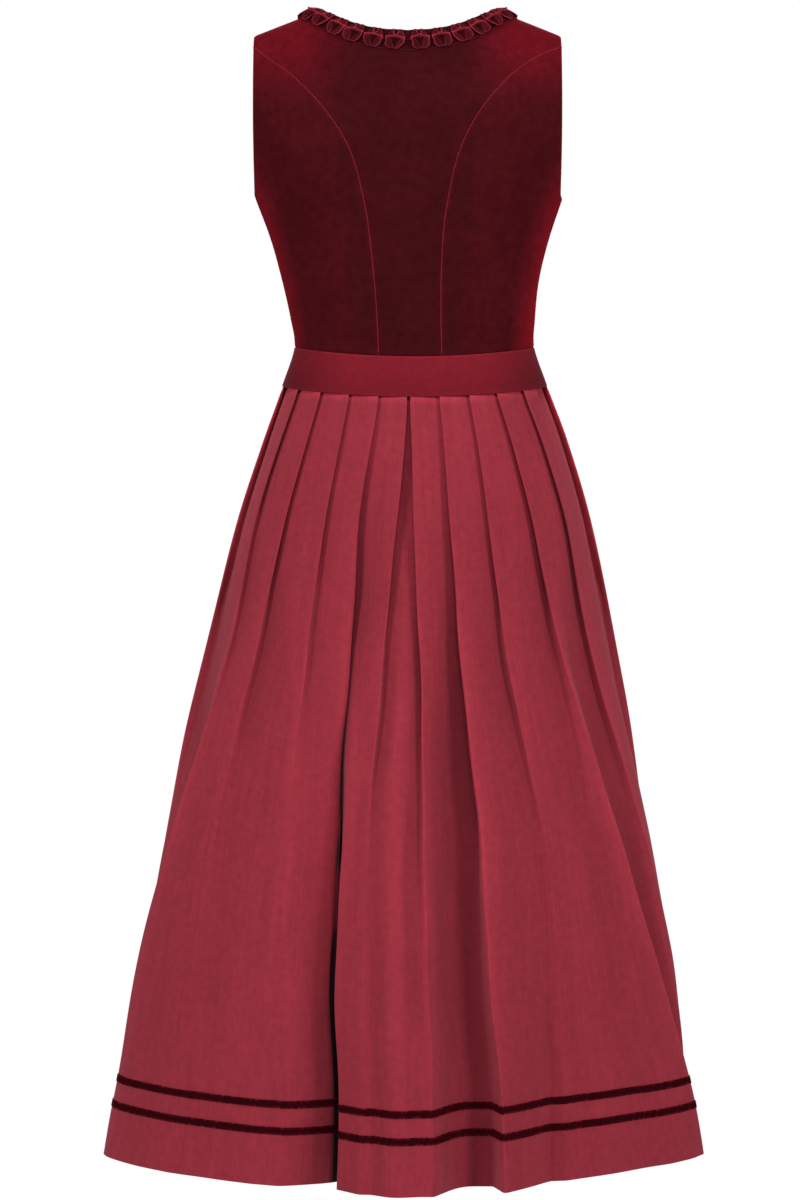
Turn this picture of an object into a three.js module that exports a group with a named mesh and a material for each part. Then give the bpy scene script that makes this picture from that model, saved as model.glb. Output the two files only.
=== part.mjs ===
// A sleeveless dirndl: a velvet bodice, a smooth waistband and a knife-pleated cotton skirt,
// hollow and standing in its worn form.
// Millimetres. +Z is up, +Y is the wearer's front and +X is the wearer's right. The origin lies
// midway between the two shoulder seams, where the shoulders carry the garment.
// Heights called "up" are measured from the waist seam, and "side" is -1 left or +1 right.
import * as THREE from 'three';

// ---- Driving dimensions ----------------------------------------------------
const SHOULDER_UP = 333;
const SEAM_GAP = 0.3;
const VELVET_WALL = 2;
const BAND_WALL = 2;
const COTTON_WALL = 1;
const RIBBON_WALL = 1;
const TRIM_WALL = 4;

const BAND_DEPTH = 41;
const WAIST_DIP = 8;
const HEM_UP = -853;
const RIBBON_WIDTH = 7.5;
const UPPER_RIBBON_UP = -769;
const LOWER_RIBBON_UP = -796.5;

const UNDERARM_UP = 152;
const ARMHOLE_REACH = 158.5;
const FRONT_ARMHOLE_SCOOP = 9;
const ROLL_UP = 205;
const NECK_SHIFT = -2.7;
const NECK_REACH = 92;
const NECK_RIDGE_UP = 346;
const SHOULDER_SLOPE = 0.39;
const NAPE_SLOPE = 0.28;
const TRIM_WIDTH = 23;
const TRIM_RISE = 1;
const TRIM_CLEAR = 1.4;

// Level sections of the whole garment: half the width, the sideways shift of its middle, the
// depth behind and before the side seams, and the power of the rounded outline (2 is an ellipse).
const FORM = [
  { up: -853, half: 317.0, shift: -3.5, back: 167, front: 178, round: 1.58 },
  { up: -775, half: 306.2, shift: -1.4, back: 165, front: 175, round: 1.60 },
  { up: -645, half: 287.6, shift: -5.0, back: 160, front: 168, round: 1.66 },
  { up: -475, half: 253.0, shift: -2.3, back: 150, front: 157, round: 1.78 },
  { up: -306, half: 214.2, shift: 1.6, back: 137, front: 142, round: 1.90 },
  { up: -180, half: 184.9, shift: 4.2, back: 122, front: 126, round: 2.00 },
  { up: -97, half: 159.0, shift: 5.4, back: 108, front: 111, round: 2.10 },
  { up: -41, half: 138.4, shift: 4.9, back: 96, front: 99, round: 2.15 },
  { up: 0, half: 124.8, shift: 4.5, back: 87, front: 90, round: 2.20 },
  { up: 28, half: 126.8, shift: 3.0, back: 89, front: 94, round: 2.20 },
  { up: 69, half: 133.4, shift: 0.5, back: 93, front: 101, round: 2.20 },
  { up: 111, half: 144.2, shift: -0.2, back: 99, front: 112, round: 2.20 },
  { up: 152, half: 158.6, shift: -1.1, back: 104, front: 124, round: 2.20 },
  { up: 175, half: 166.5, shift: -1.6, back: 106, front: 127, round: 2.20 },
  { up: 205, half: 175.0, shift: -2.1, back: 107, front: 123, round: 2.20 },
  { up: 240, half: 182.0, shift: -2.6, back: 107, front: 114, round: 2.20 },
  { up: 380, half: 188.0, shift: -2.7, back: 107, front: 104, round: 2.20 },
];

// The curved back seams, from the waist to the armhole: distance from the middle plane.
const BACK_SEAM = [
  { up: 0, left: 32, right: 32 },
  { up: 56, left: 35, right: 31 },
  { up: 113, left: 41, right: 33 },
  { up: 150, left: 47, right: 38 },
  { up: 200, left: 61, right: 50 },
  { up: 240, left: 86, right: 71 },
  { up: 275, left: 119, right: 101 },
  { up: 295, left: 146, right: 128 },
  { up: 308, left: 161.2, right: 155.8 },
];

// The curved front seams, over the bust to the armhole.
const FRONT_SEAM = [
  { up: 0, left: 62, right: 62 },
  { up: 80, left: 74, right: 74 },
  { up: 160, left: 90, right: 90 },
  { up: 205, left: 112, right: 112 },
  { up: 240, left: 152.6, right: 147.2 },
];

// The neck edge: rise at the back and at the front, by distance from the middle plane.
const BACK_NECK = [
  { across: 0, up: 319 },
  { across: 30, up: 321.5 },
  { across: 55, up: 328 },
  { across: 78, up: 338.5 },
  { across: 92, up: 346 },
];
const FRONT_NECK = [
  { along: 0, across: 0, up: 150 },
  { along: 0.14, across: 32, up: 153 },
  { along: 0.28, across: 60, up: 168 },
  { along: 0.42, across: 79, up: 197 },
  { along: 0.62, across: 89, up: 249 },
  { along: 0.84, across: 93, up: 312 },
  { along: 1, across: 92, up: 346 },
];

// The knife pleats of each half, from centre back (share 0) to centre front (share 1). Each row
// gives the pleat edge's place along the half ring at five heights, the share of the skirt's
// height where the underlay has run out, and at the hem how far the edge stands out, how far the
// cloth drops beside it and over what width. A mouth sets where the cloth comes out of a deep
// valley, as a share of the way from this edge back to the one before, and how deep it lies there.
const STATIONS = [0, 0.15, 0.32, 0.6, 1];
const LEFT_PLEATS = [
  { at: [0.021, 0.036, 0.052, 0.060, 0.062], opens: 0.34, stands: 14, drop: 0, slope: 12 },
  { at: [0.098, 0.120, 0.116, 0.117, 0.110], opens: 0.75, stands: -30, drop: 44, slope: 26,
    mouth: 0.22, mouthDepth: 2 },
  { at: [0.181, 0.192, 0.195, 0.203, 0.215], opens: 0.28, stands: 3, drop: 0, slope: 30 },
  { at: [0.267, 0.287, 0.304, 0.330, 0.350], opens: 0.33, stands: 2, drop: 2, slope: 30 },
  { at: [0.352, 0.374, 0.371, 0.438, 0.505], opens: 0.2, stands: 5, drop: 0, slope: 26 },
  { at: [0.460, 0.475, 0.490, 0.540, 0.590], opens: 0.34, stands: 2, drop: 10, slope: 26,
    mouth: 0.75, mouthDepth: 24 },
  { at: [0.546, 0.555, 0.565, 0.605, 0.655], opens: 0.34, stands: 6, drop: 18, slope: 26 },
  { at: [0.632, 0.638, 0.644, 0.670, 0.712], opens: 0.38, stands: 4, drop: 12, slope: 28 },
  { at: [0.718, 0.720, 0.722, 0.736, 0.770], opens: 0.55, stands: 10, drop: 30, slope: 18 },
  { at: [0.804, 0.804, 0.805, 0.810, 0.825], opens: 0.36, stands: 4, drop: 12, slope: 28 },
  { at: [0.890, 0.890, 0.890, 0.888, 0.890], opens: 0.46, stands: 8, drop: 26, slope: 20 },
];
const RIGHT_PLEATS = [
  { at: [-0.014, -0.002, 0.013, 0.027, 0.034], opens: 0.5, stands: 20, drop: 0, slope: 14 },
  { at: [0.065, 0.073, 0.088, 0.114, 0.126], opens: 0.75, stands: 20, drop: 32, slope: 6,
    mouth: 0.52, mouthDepth: 19 },
  { at: [0.147, 0.158, 0.175, 0.232, 0.228], opens: 0.34, stands: -8, drop: 5, slope: 16 },
  { at: [0.228, 0.258, 0.290, 0.382, 0.496], opens: 0.36, stands: 0, drop: 14, slope: 90 },
  { at: [0.317, 0.351, 0.365, 0.455, 0.575], opens: 0.36, stands: -6, drop: 6, slope: 24,
    mouth: 0.74, mouthDepth: 24 },
  { at: [0.496, 0.496, 0.504, 0.560, 0.645], opens: 0.34, stands: 4, drop: 10, slope: 22 },
  { at: [0.556, 0.566, 0.580, 0.625, 0.700], opens: 0.34, stands: 5, drop: 15, slope: 24 },
  { at: [0.642, 0.648, 0.655, 0.688, 0.748], opens: 0.44, stands: 8, drop: 24, slope: 20 },
  { at: [0.728, 0.730, 0.733, 0.750, 0.790], opens: 0.36, stands: 4, drop: 12, slope: 26 },
  { at: [0.814, 0.815, 0.816, 0.822, 0.842], opens: 0.5, stands: 8, drop: 26, slope: 18 },
  { at: [0.900, 0.900, 0.900, 0.900, 0.902], opens: 0.38, stands: 5, drop: 15, slope: 26 },
];
const UNDERLAY = 27;
const UNDERLAY_FADES = 0.3;
const LEAST_DROP = 1.5;
const SLOPE_STARTS = 0.7;
const MOUTH_SETTLES = [0.2, 0.5];
// How a pleat's turn and lip divide its slope and its drop, and which pleats turn steeply.
const TURN = { way: 0.7, drop: 0.62 };
const STEEP_TURN = { way: 0.35, drop: 0.95 };
const STEEP_FROM = 3;
const LIP = { way: 0.45, drop: 0.36 };
const LAYER_SPACING = 1.8;
const LAYER_GROWTH = 9;
const LAYERS_GROWN = 0.6;
const SIDE_OPENS = 0.3;
const CENTRE_STANDS = 24;
const SIDE_PLEAT = 6;
const SEAM_SHARE = 0.3;
const BAND_SIDE_SHARE = 0.497;
const BAND_GAP_SHARE = 0.0006;
const DIP_REACH = 400;
const NECK_BACK_SHARE = 0.3;
const POINTS_PER_PLEAT = 5;
const FOLD_GROWTH = 1.25;

// Heights of the rows of points: on the back seams, then up the armhole edge as shares of what
// is left; on the front seams, then up the strap in the same way.
const BACK_ROWS = [0, 40, 80, 115, 152, 160, 180, 205, 228, 250, 268, 284, 298, 308];
const BACK_TOP_ROWS = [0.5, 0.88, 1];
const FRONT_ROWS = [0, 40, 80, 115, 152, 160, 180, 205, 225, 240];
const STRAP_ROWS = [0.3, 0.6, 0.8, 0.94, 1];
const SKIRT_ROWS = [0, 0.04, 0.13, 0.24, 0.37, 0.58];
const TRIM_STEPS = 20;
const BAND_STEPS = { behind: 20, before: 10 };
const PANEL_STEPS = 4;
const RING_STEPS = 120;
const PROBE = 0.5;
const TRIM_PROBE = 0.004;

const VELVET = { color: '#4a0f16', roughness: 0.9 };
const BAND_COTTON = { color: '#7a1a28', roughness: 0.85 };
const SKIRT_COTTON = { color: '#97303f', roughness: 0.85 };
const RIBBON = { color: '#3a0409', roughness: 0.9 };

// ---- Reading the tables ----------------------------------------------------
const mix = THREE.MathUtils.lerp;
const clamp = THREE.MathUtils.clamp;
const smooth = (value, from, to) => THREE.MathUtils.smoothstep(value, from, to);

// A smooth curve through a table's rows, read at one value of its first column.
function read(table, key, at, column) {
  const last = table.length - 1;
  let row = 0;
  while (row < last - 1 && at > table[row + 1][key]) row += 1;
  const [a, b] = [table[row], table[row + 1]];
  const before = table[Math.max(row - 1, 0)];
  const after = table[Math.min(row + 2, last)];
  const span = b[key] - a[key];
  const t = clamp((at - a[key]) / span, 0, 1);
  const leaving = span * (b[column] - before[column]) / (b[key] - before[key]);
  const arriving = span * (after[column] - a[column]) / (after[key] - a[key]);
  const t2 = t * t;
  const t3 = t2 * t;
  return (2 * t3 - 3 * t2 + 1) * a[column] + (t3 - 2 * t2 + t) * leaving
    + (3 * t2 - 2 * t3) * b[column] + (t3 - t2) * arriving;
}

const section = (up) => ({
  half: read(FORM, 'up', up, 'half'),
  shift: read(FORM, 'up', up, 'shift'),
  back: read(FORM, 'up', up, 'back'),
  front: read(FORM, 'up', up, 'front'),
  round: read(FORM, 'up', up, 'round'),
});

const sideName = (side) => (side < 0 ? 'left' : 'right');

// The waist seam dips at the middle of the back and of the front, and the dip dies away above
// and below it.
function dipAt(x, up) {
  const { half, shift } = section(up);
  const share = clamp(Math.abs(x - shift) / half, 0, 1);
  const fade = up > 0
    ? 1 - smooth(up, 0, UNDERARM_UP)
    : clamp(1 + (up + BAND_DEPTH) / DIP_REACH, 0, 1);
  return WAIST_DIP * (1 - share ** 2) * fade;
}
const place = (x, y, up) => new THREE.Vector3(x, y, up - dipAt(x, up) - SHOULDER_UP);

// ---- The closed solid of a cloth piece ------------------------------------
// A piece is a grid of { point, normal }. Its wall runs from `inner` to `outer` along the
// normals, and its four edges are closed. Rows may shrink to one point at a seam's end.
function wallGeometry(grid, inner, outer) {
  const rows = grid.length;
  const columns = grid[0].length;
  const positions = [];
  const corners = [];
  for (const offset of [outer, inner]) {
    for (const row of grid) {
      for (const { point, normal } of row) {
        const corner = point.clone().addScaledVector(normal, offset);
        corners.push(corner);
        positions.push(corner.x, corner.y, corner.z);
      }
    }
  }
  const index = [];
  const at = (layer, row, column) => (layer * rows + row) * columns + column;
  const triangle = (a, b, c) => {
    const [p, q, r] = [corners[a], corners[b], corners[c]];
    if (p.distanceTo(q) > 1e-3 && q.distanceTo(r) > 1e-3 && r.distanceTo(p) > 1e-3) {
      index.push(a, b, c);
    }
  };
  const quad = (a, b, c, d) => {
    triangle(a, b, c);
    triangle(a, c, d);
  };
  for (let i = 0; i < rows - 1; i += 1) {
    for (let j = 0; j < columns - 1; j += 1) {
      quad(at(0, i, j), at(0, i, j + 1), at(0, i + 1, j + 1), at(0, i + 1, j));
      quad(at(1, i, j), at(1, i + 1, j), at(1, i + 1, j + 1), at(1, i, j + 1));
    }
  }
  for (let j = 0; j < columns - 1; j += 1) {
    quad(at(0, 0, j), at(1, 0, j), at(1, 0, j + 1), at(0, 0, j + 1));
    quad(at(0, rows - 1, j), at(0, rows - 1, j + 1), at(1, rows - 1, j + 1), at(1, rows - 1, j));
  }
  for (let i = 0; i < rows - 1; i += 1) {
    quad(at(0, i, 0), at(0, i + 1, 0), at(1, i + 1, 0), at(1, i, 0));
    quad(at(0, i, columns - 1), at(1, i, columns - 1), at(1, i + 1, columns - 1),
      at(0, i + 1, columns - 1));
  }
  const geometry = new THREE.BufferGeometry();
  geometry.setAttribute('position', new THREE.Float32BufferAttribute(positions, 3));
  geometry.setIndex(index);
  geometry.computeVertexNormals();
  return geometry;
}

const garment = new THREE.Group();
function addPiece(name, geometry, look) {
  const material = new THREE.MeshStandardMaterial({ ...look, metalness: 0 });
  const mesh = new THREE.Mesh(geometry, material);
  mesh.name = name;
  garment.add(mesh);
}

// ---- The bodice's surface --------------------------------------------------
const ridgeUp = (across) => (across > NECK_REACH
  ? NECK_RIDGE_UP - (across - NECK_REACH) * SHOULDER_SLOPE
  : NECK_RIDGE_UP + (NECK_REACH - across) * NAPE_SLOPE);

// The height is turned into a way over the shoulder: 0 on the shoulder line, growing downward.
function overShoulder(across, up) {
  const rise = ridgeUp(across) - ROLL_UP;
  return up > ROLL_UP ? rise * Math.acos(clamp((up - ROLL_UP) / rise, 0, 1))
    : rise * Math.PI / 2 + (ROLL_UP - up);
}

// A point by sideways position, way over the shoulder (negative behind, positive before).
function bodicePoint(x, way) {
  const rise = ridgeUp(Math.abs(x - NECK_SHIFT)) - ROLL_UP;
  const quarter = rise * Math.PI / 2;
  const down = Math.abs(way);
  const up = down < quarter ? ROLL_UP + rise * Math.cos(down / rise) : ROLL_UP - (down - quarter);
  const roll = down < quarter ? Math.sin(down / rise) : 1;
  const { half, shift, back, front, round } = section(up);
  const share = clamp(Math.abs(x - shift) / half, 0, 1);
  const depth = (way < 0 ? back : front) * (1 - share ** round) ** (1 / round) * roll;
  return place(x, Math.sign(way) * depth, up);
}

// A point by angle round the section: 0 at centre back, a quarter turn at the side seam.
function flankPoint(side, angle, up, behind) {
  const { half, shift, back, front, round } = section(up);
  const x = shift + side * half * Math.sin(angle) ** (2 / round);
  const rise = ridgeUp(Math.abs(x - NECK_SHIFT)) - ROLL_UP;
  const roll = up > ROLL_UP ? Math.sqrt(1 - clamp((up - ROLL_UP) / rise, 0, 1) ** 2) : 1;
  const reach = Math.max(Math.cos(angle), 0) ** (2 / round) * roll;
  return place(x, behind ? -back * reach : front * reach, up);
}

function angleAt(side, x, up) {
  const { half, shift, round } = section(up);
  return Math.asin(clamp(side * (x - shift) / half, 0, 1) ** (round / 2));
}

const armholeX = (side, up, behind) => {
  const rise = clamp((up - UNDERARM_UP) / (NECK_RIDGE_UP - UNDERARM_UP), 0, 1);
  const scoop = behind ? 0 : FRONT_ARMHOLE_SCOOP * Math.sin(rise * Math.PI);
  return side * (ARMHOLE_REACH - scoop) + NECK_SHIFT;
};

// The outward normal at a point of the bodice, from small steps along its surface. It is level
// at the waist seam, where the bodice meets the band.
function bodiceNormal(point, up) {
  const side = point.y < 0 ? -1 : 1;
  const way = side * overShoulder(Math.abs(point.x - NECK_SHIFT), up);
  const { x, y } = point;
  if (up > ROLL_UP) {
    const across = bodicePoint(x + PROBE, way).sub(bodicePoint(x - PROBE, way));
    const onward = bodicePoint(x, way + PROBE).sub(bodicePoint(x, way - PROBE));
    return onward.cross(across).negate().normalize();
  }
  const outside = (x, y, level) => {
    const { half, shift, back, front, round } = section(level);
    return (Math.abs(x - shift) / half) ** round + (Math.abs(y) / (y < 0 ? back : front)) ** round;
  };
  const rise = outside(x, y, up + PROBE) - outside(x, y, up - PROBE);
  return new THREE.Vector3(
    outside(x + PROBE, y, up) - outside(x - PROBE, y, up),
    outside(x, y + PROBE, up) - outside(x, y - PROBE, up),
    up > 0 ? rise : 0,
  ).normalize();
}

const shares = (count) => Array.from({ length: count + 1 }, (_, i) => i / count);

// ---- Bodice panels ---------------------------------------------------------
// A panel's edge at a curved seam: `outward` is +1 for the side panel and -1 for the middle one.
function seamEdgeX(table, side, up, outward) {
  const reach = (level) => read(table, 'up', level, sideName(side));
  const slope = reach(up + PROBE) - reach(up - PROBE);
  return side * (reach(up) + outward * SEAM_GAP / 2 * Math.hypot(1, slope / (2 * PROBE)));
}
const neckUpBehind = (across) => read(BACK_NECK, 'across', across, 'up');
const shoulderSeamUp = (across) => ridgeUp(across);

// A grid entry on the bodice's back or front, by sideways position and height.
function onBodice(x, up, behind) {
  const way = Math.max(overShoulder(Math.abs(x - NECK_SHIFT), up), SEAM_GAP / 2);
  const point = bodicePoint(x, behind ? -way : way);
  return { point, normal: bodiceNormal(point, up) };
}

// Centre back: bounded by the two curved seams, the armholes, the shoulder seams and the neck.
const BACK_COLUMNS = [-1, -0.8, -0.58, -0.4, -0.2, 0, 0.2, 0.4, 0.58, 0.8, 1];
const NECK_LIFT_POWER = 1.6;
function centreBackGrid() {
  const seamTop = BACK_ROWS[BACK_ROWS.length - 1];
  const tipUp = shoulderSeamUp(ARMHOLE_REACH);
  const edgeUps = [...BACK_ROWS, ...BACK_TOP_ROWS.map((share) => mix(seamTop, tipUp, share))];
  return edgeUps.map((edgeUp) => BACK_COLUMNS.map((across) => {
    const side = across < 0 ? -1 : 1;
    const edgeX = edgeUp > seamTop ? armholeX(side, edgeUp, true)
      : seamEdgeX(BACK_SEAM, side, edgeUp, -1);
    const reach = Math.abs(across) * ARMHOLE_REACH;
    const topUp = reach < NECK_REACH ? neckUpBehind(reach) : shoulderSeamUp(reach);
    const lift = clamp((edgeUp - ROLL_UP) / (tipUp - ROLL_UP), 0, 1) ** NECK_LIFT_POWER;
    return onBodice(Math.abs(across) * edgeX, edgeUp + (topUp - tipUp) * lift, true);
  }));
}

// Side panels run from a curved seam to the side seam and the armhole's lower edge.
function sidePanelGrid(side, behind) {
  const seam = behind ? BACK_SEAM : FRONT_SEAM;
  return (behind ? BACK_ROWS : FRONT_ROWS).map((up) => {
    const start = angleAt(side, seamEdgeX(seam, side, up, 1), up);
    const armhole = angleAt(side, armholeX(side, up, behind), up);
    const end = up > UNDERARM_UP ? Math.max(armhole, start) : Math.PI / 2;
    const line = shares(PANEL_STEPS).map((share) => {
      const point = flankPoint(side, mix(start, end, share), up, behind);
      if (share === 1 && up <= UNDERARM_UP) point.y = (behind ? -1 : 1) * SEAM_GAP / 2;
      return { point, normal: bodiceNormal(point, up) };
    });
    return side < 0 === behind ? line.reverse() : line;
  });
}

// Fronts: from centre front and the neck edge to the curved seam and the armhole.
function frontGrid(side) {
  const seamTop = FRONT_ROWS[FRONT_ROWS.length - 1];
  const tipUp = shoulderSeamUp(ARMHOLE_REACH);
  const strapUps = STRAP_ROWS.map((share) => mix(seamTop, tipUp, share));
  const outerUps = [...FRONT_ROWS, ...strapUps];
  const neckRow = FRONT_ROWS.indexOf(UNDERARM_UP);
  return outerUps.map((outerUp, row) => {
    const rise = clamp((row - neckRow) / (outerUps.length - 1 - neckRow), 0, 1);
    const neckUp = read(FRONT_NECK, 'along', rise, 'up');
    const innerUp = row < neckRow ? outerUp * neckUp / UNDERARM_UP : neckUp;
    const reach = Math.max(read(FRONT_NECK, 'along', rise, 'across'), SEAM_GAP / 2);
    const innerX = side * reach + section(innerUp).shift;
    const outerX = outerUp <= seamTop ? seamEdgeX(FRONT_SEAM, side, outerUp, -1)
      : armholeX(side, outerUp, false);
    const line = shares(PANEL_STEPS).map((share) => {
      const x = mix(innerX, outerX, share);
      const across = Math.abs(x - NECK_SHIFT);
      const up = rise === 1 ? shoulderSeamUp(across) : mix(innerUp, outerUp, share);
      return onBodice(x, up, false);
    });
    return side < 0 ? line : line.reverse();
  });
}

// ---- Neck trim -------------------------------------------------------------
// The neck edge of one half, from centre back over the shoulder to centre front.
function neckEdge(side, along) {
  if (along <= NECK_BACK_SHARE) {
    const across = NECK_REACH * Math.sin(along / NECK_BACK_SHARE * Math.PI / 2);
    const up = neckUpBehind(across);
    return { x: side * across + NECK_SHIFT, way: -overShoulder(across, up) };
  }
  const rise = (1 - along) / (1 - NECK_BACK_SHARE);
  const across = Math.max(read(FRONT_NECK, 'along', rise, 'across'), SEAM_GAP);
  const up = read(FRONT_NECK, 'along', rise, 'up');
  const x = side * across + section(up).shift;
  return { x, way: overShoulder(Math.abs(x - NECK_SHIFT), up) };
}

// Walks from the neck edge onto the panels, square to the edge, by a distance.
function trimRow(side, along) {
  const here = neckEdge(side, along);
  const before = neckEdge(side, Math.max(along - TRIM_PROBE, 0));
  const after = neckEdge(side, Math.min(along + TRIM_PROBE, 1));
  const onward = bodicePoint(after.x, after.way).sub(bodicePoint(before.x, before.way)).normalize();
  let { x, way } = here;
  return [-TRIM_RISE, TRIM_WIDTH / 2, TRIM_WIDTH / 2].map((step) => {
    const acrossStep = bodicePoint(x + PROBE, way).sub(bodicePoint(x - PROBE, way));
    const wayStep = bodicePoint(x, way + PROBE).sub(bodicePoint(x, way - PROBE));
    const normal = acrossStep.clone().cross(wayStep).normalize();
    const away = onward.clone().cross(normal).multiplyScalar(side);
    const aa = acrossStep.dot(acrossStep);
    const ww = wayStep.dot(wayStep);
    const aw = acrossStep.dot(wayStep);
    const da = away.dot(acrossStep);
    const dw = away.dot(wayStep);
    const det = aa * ww - aw * aw;
    x += step * (da * ww - dw * aw) / det;
    way += step * (dw * aa - da * aw) / det;
    return { point: bodicePoint(x, way), normal };
  });
}

function trimGrid() {
  const left = shares(TRIM_STEPS).slice(1).reverse().map((along) => trimRow(-1, along));
  const right = shares(TRIM_STEPS).map((along) => trimRow(1, along));
  return [...left, ...right];
}

// ---- Rings of the waistband and the skirt ---------------------------------
// Half a ring from centre back to centre front, with the way along it in millimetres.
function halfRing(side, up) {
  const { half, shift, back, front, round } = section(up);
  const points = shares(RING_STEPS).map((share) => {
    const angle = share * Math.PI;
    const cosine = Math.cos(angle);
    const depth = cosine > 0 ? back : front;
    return new THREE.Vector2(
      shift + side * half * Math.sin(angle) ** (2 / round),
      -Math.sign(cosine) * depth * Math.abs(cosine) ** (2 / round),
    );
  });
  const ways = [0];
  for (let i = 1; i < points.length; i += 1) {
    ways.push(ways[i - 1] + points[i].distanceTo(points[i - 1]));
  }
  const length = ways[ways.length - 1];
  // Negative ways run past centre back onto the other half, which mirrors this one.
  return {
    length,
    pointAt(way, inward) {
      const target = clamp(Math.abs(way), 0, length);
      let i = 1;
      while (i < ways.length - 1 && ways[i] < target) i += 1;
      const point = points[i - 1].clone().lerp(points[i],
        (target - ways[i - 1]) / (ways[i] - ways[i - 1]));
      const [from, to] = [points[Math.max(i - 3, 0)], points[Math.min(i + 2, ways.length - 1)]];
      const outward = new THREE.Vector2(to.y - from.y, from.x - to.x).multiplyScalar(side);
      outward.normalize();
      point.addScaledVector(outward, -inward);
      if (way < 0) point.x = 2 * shift - point.x;
      return point;
    },
  };
}

// Outward normals of a level line of points, mitred at its corners.
const SHARPEST_CORNER = 0.625;
function lineNormals(points) {
  return points.map((point, i) => {
    const before = points[Math.max(i - 1, 0)];
    const after = points[Math.min(i + 1, points.length - 1)];
    const arriving = new THREE.Vector2(point.x - before.x, point.y - before.y).normalize();
    const leaving = new THREE.Vector2(after.x - point.x, after.y - point.y).normalize();
    const bisector = arriving.clone().add(leaving).normalize();
    const straight = arriving.length() > 0 ? arriving : leaving;
    const stretch = 1 / Math.max(Math.abs(bisector.dot(straight)), SHARPEST_CORNER);
    return new THREE.Vector3(bisector.y, -bisector.x, 0).multiplyScalar(stretch);
  });
}

// ---- Waistband -------------------------------------------------------------
function bandGrid(from, to, steps) {
  const levels = [-BAND_DEPTH, -SEAM_GAP];
  return levels.map((up) => {
    const rings = { '-1': halfRing(-1, up), 1: halfRing(1, up) };
    const points = shares(steps).map((share) => {
      const along = mix(from, to, share);
      const ring = rings[along < 0 ? -1 : 1];
      const flat = ring.pointAt(Math.abs(along) * ring.length, BAND_WALL / 2);
      return place(flat.x, flat.y, up);
    });
    const normals = lineNormals(points);
    return points.map((point, i) => ({ point, normal: normals[i] }));
  });
}

// ---- Skirt -----------------------------------------------------------------
const skirtUp = (height) => mix(-BAND_DEPTH - SEAM_GAP, HEM_UP, height);
const heightOf = (up) => (up + BAND_DEPTH + SEAM_GAP) / (HEM_UP + BAND_DEPTH + SEAM_GAP);

function pleatShare(pleat, height) {
  const rows = STATIONS.map((station, i) => ({ station, share: pleat.at[i] }));
  return read(rows, 'station', height, 'share');
}

// The level line of one half, from centre back to centre front: each entry is the way along
// the ring and the depth inside it. A pleat has a valley, a turn, a lip and an edge, and the
// cloth has one more point, its mouth, before the next pleat. The line is worked out from
// centre front, because a pleat's hidden layers follow the slope of its own face.
function halfLine(side, height) {
  const ring = halfRing(side, skirtUp(height));
  const pleats = side < 0 ? LEFT_PLEATS : RIGHT_PLEATS;
  const grow = height ** FOLD_GROWTH;
  const spacing = LAYER_SPACING + LAYER_GROWTH * Math.min(height, LAYERS_GROWN);
  const line = [];
  let beyond = { way: ring.length, depth: 0, edge: ring.length, floor: 0, opens: SIDE_OPENS };
  for (let i = pleats.length - 1; i >= 0; i -= 1) {
    const pleat = pleats[i];
    const next = pleats[i + 1];
    const edge = pleatShare(pleat, height) * ring.length;
    const under = UNDERLAY * (1 - smooth(height, 0, pleat.opens));
    const slope = pleat.slope * smooth(height, pleat.opens * SLOPE_STARTS, 1);
    const lasting = 1 - smooth(height, pleat.opens, pleat.opens + UNDERLAY_FADES);
    const top = -pleat.stands * grow;
    const drop = Math.max(mix(2 * spacing * lasting, pleat.drop, grow), LEAST_DROP);
    const open = smooth(height, 0, beyond.opens);
    const mouth = {
      way: mix(beyond.edge, (edge + beyond.way) / 2, open),
      depth: mix(beyond.floor, (top + beyond.depth) / 2, open),
    };
    if (next && next.mouth) {
      const settled = smooth(height, ...MOUTH_SETTLES);
      mouth.way = mix(mouth.way, mix(beyond.edge, edge, next.mouth), settled);
      mouth.depth = mix(mouth.depth, next.mouthDepth * Math.sqrt(height), settled);
    }
    if (!next) mouth.way = (edge + ring.length) / 2;
    const tilt = under * (mouth.depth - top) / (mouth.way - edge);
    const steep = pleat.drop > STEEP_FROM * pleat.slope ? grow : 0;
    const turnWay = slope * mix(TURN.way, STEEP_TURN.way, steep);
    const turnDrop = drop * mix(TURN.drop, STEEP_TURN.drop, steep);
    const valley = { way: edge + under - slope, depth: top + drop + tilt };
    line.unshift(
      valley,
      { way: edge + under - turnWay, depth: top + turnDrop + tilt },
      { way: edge - turnWay * LIP.way, depth: top + drop * LIP.drop },
      { way: edge, depth: top },
      mouth,
    );
    beyond = { ...valley, edge, floor: top + drop, opens: pleat.opens };
  }
  return { ring, line };
}

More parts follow.
